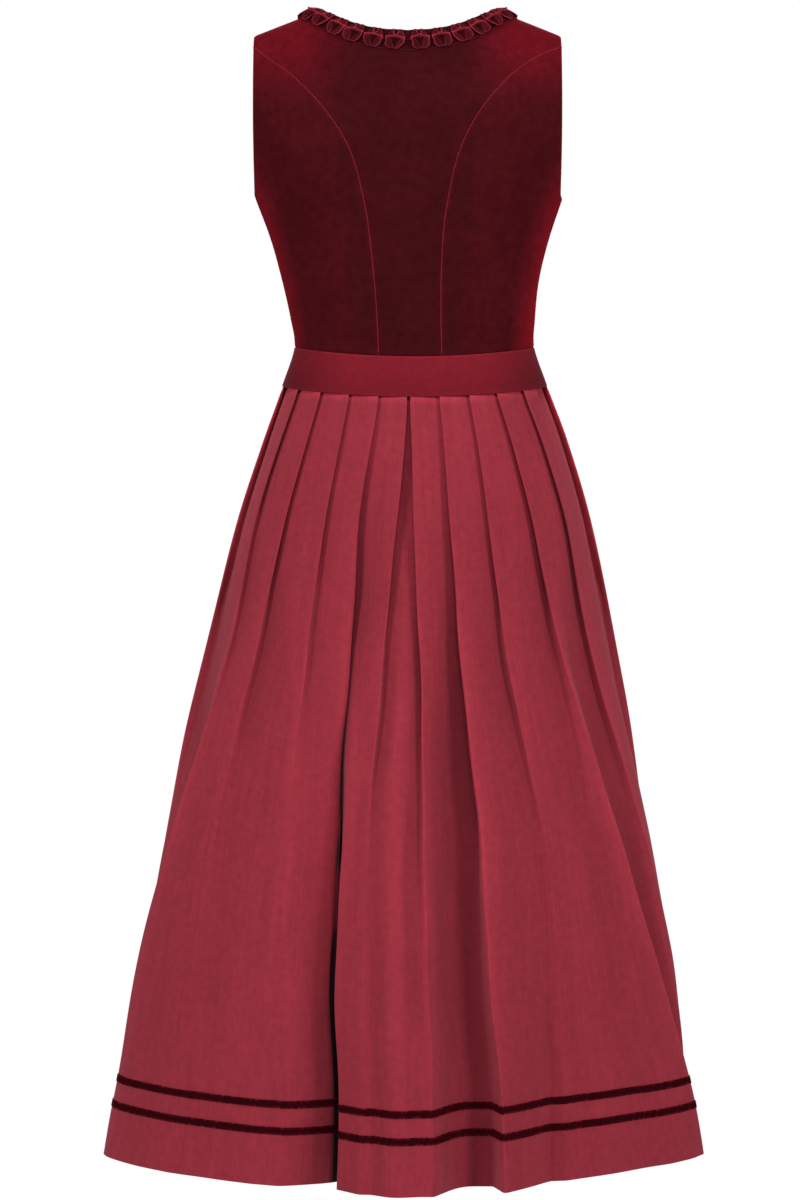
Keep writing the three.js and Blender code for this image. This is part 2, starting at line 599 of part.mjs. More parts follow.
// The skirt is one folded strip of cloth. Its line is cut at the two side seams, on the straight
// stretch under the pleat that lies at each side.
function skirtLine(height, behind) {
  const up = skirtUp(height);
  const onRing = (ring, { way, depth }) => {
    const flat = ring.pointAt(way, depth + COTTON_WALL / 2);
    return place(flat.x, flat.y, up);
  };
  const halves = [-1, 1].map((side) => {
    const { ring, line } = halfLine(side, height);
    const points = line.map((entry) => onRing(ring, entry));
    const cut = POINTS_PER_PLEAT * SIDE_PLEAT;
    const [from, to] = [points[cut - 1], points[cut]];
    const gap = SEAM_GAP / 2 / from.distanceTo(to);
    const seam = from.clone().lerp(to, 1 - SEAM_SHARE + (behind ? -gap : gap));
    const chosen = behind ? [...points.slice(0, cut), seam] : [seam, ...points.slice(cut)];
    return { ring, line, chosen };
  });
  const [left, right] = halves;
  if (!behind) {
    const centre = onRing(right.ring, { way: right.ring.length, depth: 0 });
    return [...right.chosen, centre, ...left.chosen.reverse()];
  }
  const way = (right.line[0].way - left.line[0].way) / 2;
  const folded = (left.line[0].depth + right.line[0].depth) / 2;
  const depth = mix(folded, -CENTRE_STANDS, height ** FOLD_GROWTH);
  const centre = onRing(right.ring, { way, depth });
  return [...left.chosen.reverse(), centre, ...right.chosen];
}

function skirtGrid(heights, behind) {
  return [...heights].reverse().map((height) => {
    const points = skirtLine(height, behind);
    const normals = lineNormals(points);
    return points.map((point, i) => ({ point, normal: normals[i] }));
  });
}

const RIBBONS = [
  { name: 'upper', top: UPPER_RIBBON_UP + RIBBON_WIDTH / 2 },
  { name: 'lower', top: LOWER_RIBBON_UP + RIBBON_WIDTH / 2 },
];
const ribbonHeights = ({ top }) => [heightOf(top), heightOf(top - RIBBON_WIDTH)];

// ---- The whole garment -----------------------------------------------------
addPiece('bodice_back', wallGeometry(centreBackGrid(), -VELVET_WALL, 0), VELVET);
for (const side of [-1, 1]) {
  const name = sideName(side);
  for (const [piece, grid] of [
    ['side_back', sidePanelGrid(side, true)],
    ['side_front', sidePanelGrid(side, false)],
    ['front', frontGrid(side)],
  ]) {
    addPiece(`bodice_${piece}_${name}`, wallGeometry(grid, -VELVET_WALL, 0), VELVET);
  }
}
addPiece('neck_trim', wallGeometry(trimGrid(), TRIM_CLEAR, TRIM_CLEAR + TRIM_WALL), VELVET);

const bandSide = BAND_SIDE_SHARE + BAND_GAP_SHARE;
for (const [name, from, to, steps] of [
  ['back', BAND_GAP_SHARE - BAND_SIDE_SHARE, BAND_SIDE_SHARE - BAND_GAP_SHARE, BAND_STEPS.behind],
  ['front_left', BAND_GAP_SHARE - 1, -bandSide, BAND_STEPS.before],
  ['front_right', bandSide, 1 - BAND_GAP_SHARE, BAND_STEPS.before],
]) {
  addPiece(`waistband_${name}`,
    wallGeometry(bandGrid(from, to, steps), -BAND_WALL / 2, BAND_WALL / 2), BAND_COTTON);
}

const ribbonRows = RIBBONS.flatMap(ribbonHeights);
for (const [name, behind] of [['back', true], ['front', false]]) {
  addPiece(`skirt_${name}`,
    wallGeometry(skirtGrid([...SKIRT_ROWS, ...ribbonRows, 1], behind),
      -COTTON_WALL / 2, COTTON_WALL / 2), SKIRT_COTTON);
  for (const ribbon of RIBBONS) {
    const inner = COTTON_WALL / 2 + SEAM_GAP;
    addPiece(`ribbon_${ribbon.name}_${name}`,
      wallGeometry(skirtGrid(ribbonHeights(ribbon), behind), inner, inner + RIBBON_WALL), RIBBON);
  }
}

export default garment;
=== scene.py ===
# %% [markdown]
# # A dirndl, dressed in cloth
#
# A dirndl is a fitted bodice sewn to a waistband and a full, pleated skirt. This lesson dresses
# a fixed, faceted frame of one in real-looking cloth: velvet, cotton, ribbon and thread. The
# frame is already at its true size and place, so it is loaded first and nothing in it is moved.

# %% Load the fixed frame
import math

import bpy
import numpy as np
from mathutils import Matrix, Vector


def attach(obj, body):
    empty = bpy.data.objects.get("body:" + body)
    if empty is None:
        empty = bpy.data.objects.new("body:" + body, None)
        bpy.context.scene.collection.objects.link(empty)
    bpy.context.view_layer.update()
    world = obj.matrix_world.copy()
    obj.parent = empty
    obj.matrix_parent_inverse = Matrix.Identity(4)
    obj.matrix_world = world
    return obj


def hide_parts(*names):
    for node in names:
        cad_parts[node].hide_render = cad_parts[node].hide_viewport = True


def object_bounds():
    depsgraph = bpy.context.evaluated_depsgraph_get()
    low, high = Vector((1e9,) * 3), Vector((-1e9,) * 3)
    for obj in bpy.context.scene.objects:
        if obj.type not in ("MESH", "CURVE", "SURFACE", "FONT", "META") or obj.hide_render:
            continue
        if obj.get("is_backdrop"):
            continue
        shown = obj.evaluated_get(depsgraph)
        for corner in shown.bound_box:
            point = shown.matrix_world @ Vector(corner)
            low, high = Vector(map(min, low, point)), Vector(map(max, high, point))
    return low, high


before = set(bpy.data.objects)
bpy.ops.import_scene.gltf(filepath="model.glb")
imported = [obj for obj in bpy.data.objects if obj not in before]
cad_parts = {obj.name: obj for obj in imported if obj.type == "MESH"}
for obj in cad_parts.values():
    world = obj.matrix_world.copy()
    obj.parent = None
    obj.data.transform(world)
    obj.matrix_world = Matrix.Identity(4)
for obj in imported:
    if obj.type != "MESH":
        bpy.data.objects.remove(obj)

cad_low, cad_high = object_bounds()
MM = 0.001
print("frame box in metres:", [round(v, 3) for v in (*cad_low, *cad_high)])

# %% [markdown]
# The dress is seen from behind, a little from above, through a long lens, as a catalogue shows
# it. A long lens keeps the hem and the shoulders at one scale. It is set first, because every
# later choice of detail depends on how near the viewer stands.

# %% The camera
CAMERA = {"place": (-0.0104, -3.7, -0.280), "down_degrees": 4.9, "lens": 106.46}

camera_data = bpy.data.cameras.new("camera")
camera_data.sensor_width = 36
camera_data.lens = CAMERA["lens"]
camera = bpy.data.objects.new("camera", camera_data)
camera.location = CAMERA["place"]
camera.rotation_euler = (math.radians(90 - CAMERA["down_degrees"]), 0, 0)
bpy.context.collection.objects.link(camera)
bpy.context.scene.camera = camera
print("camera stands", -CAMERA["place"][1], "m behind the dress")

# %% [markdown]
# Every curve of the garment comes from a short table of sizes in millimetres, read smoothly
# between its rows. Heights called "up" are measured from the waist seam. A straight-line
# reading would leave a kink at each row, so the reader fits a soft curve through them.

# %% Reading tables smoothly
def table(*rows):
    return np.array(rows, float)


def read(sizes, column, at):
    at = np.clip(np.asarray(at, float), sizes[0, 0], sizes[-1, 0])
    last = len(sizes) - 1
    row = np.clip(np.searchsorted(sizes[:, 0], at, side="left") - 1, 0, last - 1)
    before, after = np.maximum(row - 1, 0), np.minimum(row + 2, last)
    key, value = sizes[:, 0], sizes[:, column]
    span = key[row + 1] - key[row]
    t = (at - key[row]) / span
    leaving = span * (value[row + 1] - value[before]) / (key[row + 1] - key[before])
    arriving = span * (value[after] - value[row]) / (key[after] - key[row])
    return (
        (2 * t**3 - 3 * t**2 + 1) * value[row]
        + (t**3 - 2 * t**2 + t) * leaving
        + (3 * t**2 - 2 * t**3) * value[row + 1]
        + (t**3 - t**2) * arriving
    )


def smooth(value, start, stop):
    t = np.clip((np.asarray(value, float) - start) / (stop - start), 0, 1)
    return t * t * (3 - 2 * t)


def mix(a, b, t):
    return a + (b - a) * t


# %% [markdown]
# The body of the dress is a stack of level outlines: half the width, how far the middle is
# shifted, the depth behind and in front, and how square the outline is (2 is an ellipse). Only
# the cut is described: no wearer's body is modelled inside it.

# %% The level outlines
SHOULDER_UP = 333
BAND_DEPTH = 41
WAIST_DIP = 8
DIP_REACH = 400
UNDERARM_UP = 152
HEM_UP = -853
SEAM_GAP = 0.3
FORM = table(
    # up, half, shift, back, front, round
    (-853, 317.0, -3.5, 167, 178, 1.58),
    (-775, 306.2, -1.4, 165, 175, 1.60),
    (-645, 287.6, -5.0, 160, 168, 1.66),
    (-475, 253.0, -2.3, 150, 157, 1.78),
    (-306, 214.2, 1.6, 137, 142, 1.90),
    (-180, 184.9, 4.2, 122, 126, 2.00),
    (-97, 159.0, 5.4, 108, 111, 2.10),
    (-41, 138.4, 4.9, 96, 99, 2.15),
    (0, 124.8, 4.5, 87, 90, 2.20),
    (28, 126.8, 3.0, 89, 94, 2.20),
    (69, 133.4, 0.5, 93, 101, 2.20),
    (111, 144.2, -0.2, 99, 112, 2.20),
    (152, 158.6, -1.1, 104, 124, 2.20),
    (175, 166.5, -1.6, 106, 127, 2.20),
    (205, 175.0, -2.1, 107, 123, 2.20),
    (240, 182.0, -2.6, 107, 114, 2.20),
    (380, 188.0, -2.7, 107, 104, 2.20),
)


def outline(up):
    return [read(FORM, column, up) for column in range(1, 6)]


def place(x, y, up):
    half, shift, *_ = outline(up)
    share = np.clip(np.abs(x - shift) / half, 0, 1)
    above = 1 - smooth(up, 0, UNDERARM_UP)
    below = np.clip(1 + (up + BAND_DEPTH) / DIP_REACH, 0, 1)
    dip = WAIST_DIP * (1 - share**2) * np.where(up > 0, above, below)
    return np.stack(np.broadcast_arrays(x, y, up - dip - SHOULDER_UP), axis=-1)


print("level outlines:", len(FORM), "over", SHOULDER_UP - HEM_UP, "mm")

# %% [markdown]
# Each cut piece is a thin wall of cloth over a grid of points: an outer face, an inner face and
# the cut edges between them. A modifier could thicken a single sheet, but writing both faces
# keeps every edge closed and lets one helper also lay the cloth's own measuring grid, in metres
# along and up the piece. Weaves follow that grid, as threads do. First come the few sums on
# points and directions that every later piece needs.

# %% Directions and lengths on a grid of points
def unit(vectors):
    return vectors / np.maximum(np.linalg.norm(vectors, axis=-1, keepdims=True), 1e-9)


def dot(a, b):
    return (a * b).sum(-1)


def surface_normals(points):
    return unit(np.cross(np.gradient(points, axis=1), np.gradient(points, axis=0)))


def lengths(points, axis):
    steps = np.linalg.norm(np.diff(points, axis=axis), axis=-1)
    pad = [(0, 0), (0, 0)]
    pad[axis] = (1, 0)
    return np.cumsum(np.pad(steps, pad), axis=axis)


# %% [markdown]
# The wall itself: both faces, the four cut edges, the measuring grid as a UV map, and any masks
# that a finish will read, such as where a fold is worn. Creases sharper than a set angle keep a
# hard edge in the shading, and all the rest is shaded soft.

# %% A wall of cloth
SHARP_FROM = math.radians(70)


def cloth_mesh(name, points, inner, outer, masks=None):
    rows, columns = points.shape[:2]
    size = rows * columns
    normals = surface_normals(points)
    faces_out = (points + normals * np.asarray(outer)) * MM
    faces_in = (points + normals * np.asarray(inner)) * MM
    vertices = np.concatenate([faces_out.reshape(-1, 3), faces_in.reshape(-1, 3)])
    top = np.arange(size).reshape(rows, columns)
    under = top + size
    a, b, c, d = top[:-1, :-1], top[:-1, 1:], top[1:, 1:], top[1:, :-1]
    quads = [np.stack([a, b, c, d], -1).reshape(-1, 4),
             np.stack([a, d, c, b], -1).reshape(-1, 4) + size]
    for one, two, near, far in [
        (top[0, 1:], top[0, :-1], under[0, :-1], under[0, 1:]),
        (top[-1, :-1], top[-1, 1:], under[-1, 1:], under[-1, :-1]),
        (top[:-1, 0], top[1:, 0], under[1:, 0], under[:-1, 0]),
        (top[1:, -1], top[:-1, -1], under[:-1, -1], under[1:, -1]),
    ]:
        quads.append(np.stack([one, two, near, far], -1))
    mesh = bpy.data.meshes.new(name)
    mesh.from_pydata(vertices.tolist(), [], np.concatenate(quads).tolist())
    across, up = lengths(points, 1) * MM, lengths(points, 0) * MM
    across = np.broadcast_to(across.mean(0), across.shape)
    grid = np.stack([across, up], -1).reshape(-1, 2)
    corners = np.empty(len(mesh.loops), np.int32)
    mesh.loops.foreach_get("vertex_index", corners)
    layer = mesh.uv_layers.new(name="cloth")
    layer.data.foreach_set("uv", np.tile(grid, (2, 1))[corners].ravel().astype(np.float32))
    for mask, values in (masks or {}).items():
        attribute = mesh.attributes.new(mask, "FLOAT", "POINT")
        values = np.broadcast_to(values, (rows, columns)).ravel()
        attribute.data.foreach_set("value", np.tile(values, 2).astype(np.float32))
    mesh.shade_smooth()
    mesh.set_sharp_from_angle(angle=SHARP_FROM)
    return mesh


# %% [markdown]
# Each piece rides on the one body of the frame and takes the place of the frame's own node. Cut
# cloth is also known by its pattern: the width and length of the flat piece, and its area.

# %% Adding a piece and knowing its cut
def add_piece(name, mesh, cloth, nodes=()):
    piece = bpy.data.objects.new(name, mesh)
    piece.data.materials.append(cloth)
    bpy.context.collection.objects.link(piece)
    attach(piece, "root")
    if nodes:
        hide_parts(*nodes)
    return piece


def sheet_facts(points, long=None):
    """The flat width and length of the cut in metres, and its area. A panel's width is taken
    level and its length upright, as on a pattern. A pleated piece is as wide as its longest row,
    and long tells its length in millimetres."""
    wide = lengths(points * ((1, 1, 0) if long is None else 1), 1)[:, -1].max()
    long = long or lengths(points * (0, 1, 1), 0)[-1].max()
    area = np.linalg.norm(np.cross(points[1:, :-1] - points[:-1, :-1],
                                   points[:-1, 1:] - points[:-1, :-1]), axis=-1).sum()
    return (float(wide) * MM, float(long) * MM), float(min(area, wide * long)) * MM * MM


# %% [markdown]
# The bodice is drafted over a plain shoulder: straight down the back and front, then rolled
# over to the shoulder seam. A point on it is named by how far it lies sideways and how far it
# is from the shoulder line, so a panel can be drawn flat, as on paper, and laid on the form.
# Curved princess seams shape it instead of darts. Its sizes come first.

# %% Sizes of the bodice
ARMHOLE_REACH = 158.5
FRONT_ARMHOLE_SCOOP = 9
ROLL_UP = 205
NECK_SHIFT = -2.7
NECK_REACH = 92
NECK_RIDGE_UP = 346
SHOULDER_SLOPE = 0.39
NAPE_SLOPE = 0.28
SEAM_OVERLAP = 0.1
BACK_SEAM = table(
    # up, left, right
    (0, 32, 32), (56, 35, 31), (113, 41, 33), (150, 47, 38), (200, 61, 50),
    (240, 86, 71), (275, 119, 101), (295, 146, 128), (308, 161.2, 155.8),
)
FRONT_SEAM = table(
    # up, left, right
    (0, 62, 62), (80, 74, 74), (160, 90, 90), (205, 112, 112), (240, 152.6, 147.2),
)
BACK_NECK = table((0, 319), (30, 321.5), (55, 328), (78, 338.5), (92, 346))  # across, up
FRONT_NECK = table(
    # along, across, up
    (0, 0, 150), (0.14, 32, 153), (0.28, 60, 168), (0.42, 79, 197),
    (0.62, 89, 249), (0.84, 93, 312), (1, 92, 346),
)
print("neck wide:", 2 * NECK_REACH, "mm, armholes apart:", 2 * ARMHOLE_REACH, "mm")

# %% [markdown]
# A point of the bodice is found from its sideways place and its way over the shoulder, which is
# 0 on the shoulder line and grows downwards, negative behind. Near the side seams a sideways
# place says too little, so there a point is found by its angle round the outline instead. Panels
# lap by a tenth of a millimetre at their seams, for a sewn seam lets no light through.

# %% Points on the bodice
PROBE = 0.5


def ridge_up(across):
    return NECK_RIDGE_UP + (NECK_REACH - across) * np.where(
        across > NECK_REACH, SHOULDER_SLOPE, NAPE_SLOPE)


def over_shoulder(across, up):
    rise = ridge_up(across) - ROLL_UP
    rolled = rise * np.arccos(np.clip((up - ROLL_UP) / rise, 0, 1))
    return np.where(up > ROLL_UP, rolled, rise * math.pi / 2 + ROLL_UP - up)


def bodice_point(x, way):
    rise = ridge_up(np.abs(x - NECK_SHIFT)) - ROLL_UP
    quarter = rise * math.pi / 2
    down = np.abs(way)
    rolled = down < quarter
    up = np.where(rolled, ROLL_UP + rise * np.cos(down / rise), ROLL_UP - (down - quarter))
    roll = np.where(rolled, np.sin(np.minimum(down / rise, math.pi / 2)), 1)
    half, shift, back, front, power = outline(up)
    share = np.clip(np.abs(x - shift) / half, 0, 1)
    depth = np.where(way < 0, back, front) * (1 - share**power) ** (1 / power) * roll
    return place(x, np.sign(way) * depth, up)


def on_bodice(x, up, behind):
    way = over_shoulder(np.abs(x - NECK_SHIFT), up)
    return bodice_point(x, -way if behind else way)


def flank_point(side, angle, up, behind):
    half, shift, back, front, power = outline(up)
    x = shift + side * half * np.sin(angle) ** (2 / power)
    rise = ridge_up(np.abs(x - NECK_SHIFT)) - ROLL_UP
    roll = np.sqrt(1 - np.clip((up - ROLL_UP) / rise, 0, 1) ** 2)
    reach = np.maximum(np.cos(angle), 0) ** (2 / power) * roll
    return place(x, -back * reach if behind else front * reach, up)


def angle_at(side, x, up):
    half, shift, _, _, power = outline(up)
    return np.arcsin(np.clip(side * (x - shift) / half, 0, 1) ** (power / 2))


def armhole_x(side, up, behind):
    rise = np.clip((up - UNDERARM_UP) / (NECK_RIDGE_UP - UNDERARM_UP), 0, 1)
    scoop = (0 if behind else FRONT_ARMHOLE_SCOOP) * np.sin(rise * math.pi)
    return side * (ARMHOLE_REACH - scoop) + NECK_SHIFT


def seam_edge_x(seam, side, up, outward):
    column = 1 if side < 0 else 2
    slope = (read(seam, column, up + PROBE) - read(seam, column, up - PROBE)) / (2 * PROBE)
    return side * (read(seam, column, up) - outward * SEAM_OVERLAP / 2 * np.hypot(1, slope))


# %% [markdown]
# A panel is a grid of rows from the waist upwards. Near every seam the rows crowd together and
# the cloth dips, because a sewn velvet edge is pulled down into the seam by its stitches. One
# helper makes those dips for any panel, so all seams look sewn by one hand.

# %% How a panel dips at its edges
SEAM_TUCK = {"depth": 1.1, "reach": 4.0}
EDGE_ROLL = {"depth": 0.7, "reach": 2.2}
CROWDING = {"both ends": 0.75, "one end": 0.8}


def crowded(count, start=True, stop=True):
    share = np.linspace(0, 1, count)
    eased = smooth(share, 0, 1)
    if start and stop:
        return mix(share, eased, CROWDING["both ends"])
    half = mix(share, share**2, CROWDING["one end"])
    return half if start else 1 - half[::-1]


def pressed_in(points, edges):
    """edges: for left, right, bottom and top, where given, how the cloth dips there."""
    normals = surface_normals(points)
    across, up = lengths(points, 1), lengths(points, 0)
    away = {"left": across, "right": across[:, -1:] - across, "bottom": up, "top": up[-1:] - up}
    drop = np.zeros(points.shape[:2])
    for edge, dip in edges.items():
        near = np.clip(1 - away[edge] / dip["reach"], 0, 1)
        drop = np.maximum(drop, dip["depth"] * near**2)
    return points - normals * drop[..., None]


# %% [markdown]
# The centre back is one piece between the two curved seams. Above them it reaches out to the
# armholes, and its top edge follows the shoulder seams and the neck, so the upper rows are lifted
# little by little toward that edge.

# %% The centre back
BACK_ROWS = (74, 13)
BACK_COLUMNS = 61
NECK_LIFT_POWER = 1.6


def centre_back():
    seam_top, tip_up = BACK_SEAM[-1, 0], ridge_up(ARMHOLE_REACH)
    edge_up = np.concatenate([seam_top * crowded(BACK_ROWS[0], stop=False),
                              mix(seam_top, tip_up, np.linspace(0, 1, BACK_ROWS[1])[1:])])
    across = (2 * crowded(BACK_COLUMNS) - 1)[None, :]
    side = np.where(across < 0, -1, 1)
    edge_x = np.where(
        edge_up[:, None] > seam_top,
        np.where(side < 0, armhole_x(-1, edge_up, True)[:, None],
                 armhole_x(1, edge_up, True)[:, None]),
        np.where(side < 0, seam_edge_x(BACK_SEAM, -1, edge_up, -1)[:, None],
                 seam_edge_x(BACK_SEAM, 1, edge_up, -1)[:, None]))
    reach = np.abs(across) * ARMHOLE_REACH
    top_up = np.where(reach < NECK_REACH, read(BACK_NECK, 1, reach), ridge_up(reach))
    lift = np.clip((edge_up - ROLL_UP) / (tip_up - ROLL_UP), 0, 1)[:, None] ** NECK_LIFT_POWER
    points = on_bodice(np.abs(across) * edge_x, edge_up[:, None] + (top_up - tip_up) * lift, True)
    return pressed_in(points, dict(left=SEAM_TUCK, right=SEAM_TUCK, bottom=SEAM_TUCK, top=EDGE_ROLL))


# %% [markdown]
# A side panel runs from its curved seam to the side seam and, above the underarm, to the
# armhole, where it ends in a point. The same draft gives all four: behind and in front, left and
# right.

# %% The side panels
SIDE_ROWS = (40, 34)
SIDE_COLUMNS = 30
LEAST_ANGLE = 0.004


def side_panel(side, behind):
    seam = BACK_SEAM if behind else FRONT_SEAM
    up = np.concatenate([UNDERARM_UP * crowded(SIDE_ROWS[0], stop=False),
                         mix(UNDERARM_UP, seam[-1, 0], np.linspace(0, 1, SIDE_ROWS[1])[1:])])
    start = angle_at(side, seam_edge_x(seam, side, up, 1), up)
    end = np.where(up > UNDERARM_UP, angle_at(side, armhole_x(side, up, behind), up), math.pi / 2)
    end = np.maximum(end, start + LEAST_ANGLE)
    angle = mix(start[:, None], end[:, None], crowded(SIDE_COLUMNS)[None, :])
    points = flank_point(side, angle, up[:, None], behind)
    below = up <= UNDERARM_UP
    points[below, -1, 1] = (1 if behind else -1) * SEAM_OVERLAP / 2
    if (side < 0) == behind:
        points = points[:, ::-1]
    return pressed_in(points, dict(left=SEAM_TUCK, right=SEAM_TUCK, bottom=SEAM_TUCK))


# %% [markdown]
# A front reaches from centre front to its curved seam, and above the underarm it narrows to the
# shoulder strap between the neck and the armhole. The two fronts meet edge to edge.

# %% The fronts
FRONT_ROWS = (36, 49)
FRONT_COLUMNS = 42


def front(side):
    seam_top, tip_up = FRONT_SEAM[-1, 0], ridge_up(ARMHOLE_REACH)
    low_rows, high_rows = FRONT_ROWS
    below = UNDERARM_UP * crowded(low_rows, stop=False)
    above = mix(UNDERARM_UP, tip_up, np.linspace(0, 1, high_rows)[1:])
    outer_up = np.concatenate([below, above])
    rise = np.clip((np.arange(len(outer_up)) - low_rows + 1) / (high_rows - 1), 0, 1)
    neck_up = read(FRONT_NECK, 2, rise)
    inner_up = np.where(rise > 0, neck_up, outer_up * neck_up / UNDERARM_UP)
    inner_x = side * read(FRONT_NECK, 1, rise) + outline(inner_up)[1]
    outer_x = np.where(outer_up <= seam_top, seam_edge_x(FRONT_SEAM, side, outer_up, -1),
                       armhole_x(side, outer_up, False))
    share = crowded(FRONT_COLUMNS)[None, :]
    x = mix(inner_x[:, None], outer_x[:, None], share)
    up = mix(inner_up[:, None], outer_up[:, None], share)
    up[-1] = ridge_up(np.abs(x[-1] - NECK_SHIFT))
    points = on_bodice(x, up, False)
    if side > 0:
        points = points[:, ::-1]
    return pressed_in(points, dict(left=SEAM_TUCK, right=SEAM_TUCK, bottom=SEAM_TUCK, top=EDGE_ROLL))


# %% [markdown]
# Waistband and skirt are drawn as level rings. A ring knows its own length, so a pleat can be
# set by its share of the way from centre back to centre front, just as a dressmaker divides the
# waist into equal pleats, and a fold can be pushed in or out square to the ring.

# %% Rings
RING_STEPS = 240
RING_WINDOW = 5


def half_ring(side, up):
    half, shift, back, front, power = [v[:, None] for v in outline(np.atleast_1d(up))]
    angle = np.linspace(0, math.pi, RING_STEPS + 1)[None, :]
    cosine = np.cos(angle)
    x = shift + side * half * np.sin(angle).clip(0) ** (2 / power)
    y = -np.sign(cosine) * np.where(cosine > 0, back, front) * np.abs(cosine) ** (2 / power)
    points = np.stack([x, y], -1)
    ways = lengths(points, 1)
    wide = np.pad(points, [(0, 0), (RING_WINDOW, RING_WINDOW), (0, 0)], mode="edge")
    along = wide[:, 2 * RING_WINDOW:] - wide[:, :-2 * RING_WINDOW]
    outward = unit(np.stack([along[..., 1], -along[..., 0]], -1) * side)
    return {"points": points, "ways": ways, "outward": outward, "shift": shift,
            "length": ways[:, -1]}


def on_ring(ring, way, inward):
    """Points (rows, columns, 2) at a way along the ring, pushed inward by a depth."""
    found = np.empty(np.shape(way) + (4,))
    for row, ways in enumerate(ring["ways"]):
        for axis in (0, 1):
            target = np.abs(way[row])
            found[row, :, axis] = np.interp(target, ways, ring["points"][row, :, axis])
            found[row, :, axis + 2] = np.interp(target, ways, ring["outward"][row, :, axis])
    flat = found[..., :2] - unit(found[..., 2:]) * np.asarray(inward)[..., None]
    mirrored = 2 * ring["shift"] - flat[..., 0]
    flat[..., 0] = np.where(way < 0, mirrored, flat[..., 0])
    return flat


waist_round, hem_round = 2 * half_ring(1, [0, HEM_UP])["length"]
print(f"waist round: {waist_round:.0f} mm, hem of the ring round: {hem_round:.0f} mm")


# %% [markdown]
# The skirt is one long strip, pressed into knife pleats that all face centre back, where two of
# them meet. Each pleat is a line of five bends: the hidden valley, its turn, the lip, the
# visible edge and the mouth where the next pleat begins. Below the hips the hidden underlay
# runs out and the pleats open into deep waves. Real pleats hang unevenly, so each has a row of
# its own in the tables, from centre back (share 0) to centre front (share 1).

# %% The pleat tables
STATIONS = (0, 0.15, 0.32, 0.6, 1)
LEFT_PLEATS = [
    # share of the half ring at five heights, opens, stands, drop, slope, mouth, its depth
    (0.021, 0.036, 0.052, 0.060, 0.062, 0.34, 14, 0, 12, 0, 0),
    (0.098, 0.120, 0.116, 0.117, 0.110, 0.75, -30, 44, 26, 0.22, 2),
    (0.181, 0.192, 0.195, 0.203, 0.215, 0.28, 3, 0, 30, 0, 0),
    (0.267, 0.287, 0.304, 0.330, 0.350, 0.33, 2, 2, 30, 0, 0),
    (0.352, 0.374, 0.371, 0.438, 0.505, 0.2, 5, 0, 26, 0, 0),
    (0.460, 0.475, 0.490, 0.540, 0.590, 0.34, 2, 10, 26, 0.75, 24),
    (0.546, 0.555, 0.565, 0.605, 0.655, 0.34, 6, 18, 26, 0, 0),
    (0.632, 0.638, 0.644, 0.670, 0.712, 0.38, 4, 12, 28, 0, 0),
    (0.718, 0.720, 0.722, 0.736, 0.770, 0.55, 10, 30, 18, 0, 0),
    (0.804, 0.804, 0.805, 0.810, 0.825, 0.36, 4, 12, 28, 0, 0),
    (0.890, 0.890, 0.890, 0.888, 0.890, 0.46, 8, 26, 20, 0, 0),
]
RIGHT_PLEATS = [
    (-0.014, -0.002, 0.013, 0.027, 0.034, 0.5, 20, 0, 14, 0, 0),
    (0.065, 0.073, 0.088, 0.114, 0.126, 0.75, 20, 32, 6, 0.52, 19),
    (0.147, 0.158, 0.175, 0.232, 0.228, 0.34, -8, 5, 16, 0, 0),
    (0.228, 0.258, 0.290, 0.382, 0.496, 0.36, 0, 14, 90, 0, 0),
    (0.317, 0.351, 0.365, 0.455, 0.575, 0.36, -6, 6, 24, 0.74, 24),
    (0.496, 0.496, 0.504, 0.560, 0.645, 0.34, 4, 10, 22, 0, 0),
    (0.556, 0.566, 0.580, 0.625, 0.700, 0.34, 5, 15, 24, 0, 0),
    (0.642, 0.648, 0.655, 0.688, 0.748, 0.44, 8, 24, 20, 0, 0),
    (0.728, 0.730, 0.733, 0.750, 0.790, 0.36, 4, 12, 26, 0, 0),
    (0.814, 0.815, 0.816, 0.822, 0.842, 0.5, 8, 26, 18, 0, 0),
    (0.900, 0.900, 0.900, 0.900, 0.902, 0.38, 5, 15, 26, 0, 0),
]
print("knife pleats:", len(LEFT_PLEATS) + len(RIGHT_PLEATS))

# %% [markdown]
# Heights down the skirt are shares too: 0 at the waistband, 1 at the hem. No ironed edge falls
# quite straight between them, so each one strays about a millimetre, on two waves of its own.

# %% Heights and straying edges
SKIRT_TOP_UP = -BAND_DEPTH - SEAM_GAP
STRAY = {"first": (17, 2.4, 1.0), "second": (41, 1.1, 0.6), "by": 0.8, "grows": (0.04, 0.3)}


def skirt_up(height):
    return mix(SKIRT_TOP_UP, HEM_UP, height)


def height_of(up):
    return (up - SKIRT_TOP_UP) / (HEM_UP - SKIRT_TOP_UP)


def wander(height, which):
    """How far a fold's edge strays sideways in millimetres."""
    waves = (STRAY["first"], STRAY["second"])
    stray = sum(high * np.sin(height * fast + which * apart) for fast, apart, high in waves)
    return STRAY["by"] * stray * smooth(height, *STRAY["grows"])


print("skirt long:", round(SKIRT_TOP_UP - HEM_UP, 1), "mm")

# %% [markdown]
# One half of the folded line is worked out from centre front backwards, because a pleat's hidden
# layers follow the slope of its own face and end under the next one. Every bend is a way along
# the ring and a depth inside it. Where a pleat opens, its hidden layers run out, its face slopes
# away from the edge, and the turn and the lip divide that slope and drop between them.

# %% The folded line of half the skirt
UNDERLAY = 27
LAYER_SPACING = 1.8
LAYER_GROWTH = 9
LAYERS_GROWN = 0.6
UNDERLAY_FADES = 0.3
LEAST_DROP = 1.5
SLOPE_STARTS = 0.7
SIDE_OPENS = 0.3
FOLD_GROWTH = 1.25
MOUTH_SETTLES = (0.2, 0.5)
TURN, STEEP_TURN = (0.7, 0.62), (0.35, 0.95)
STEEP_FROM = 3
LIP = (0.45, 0.36)


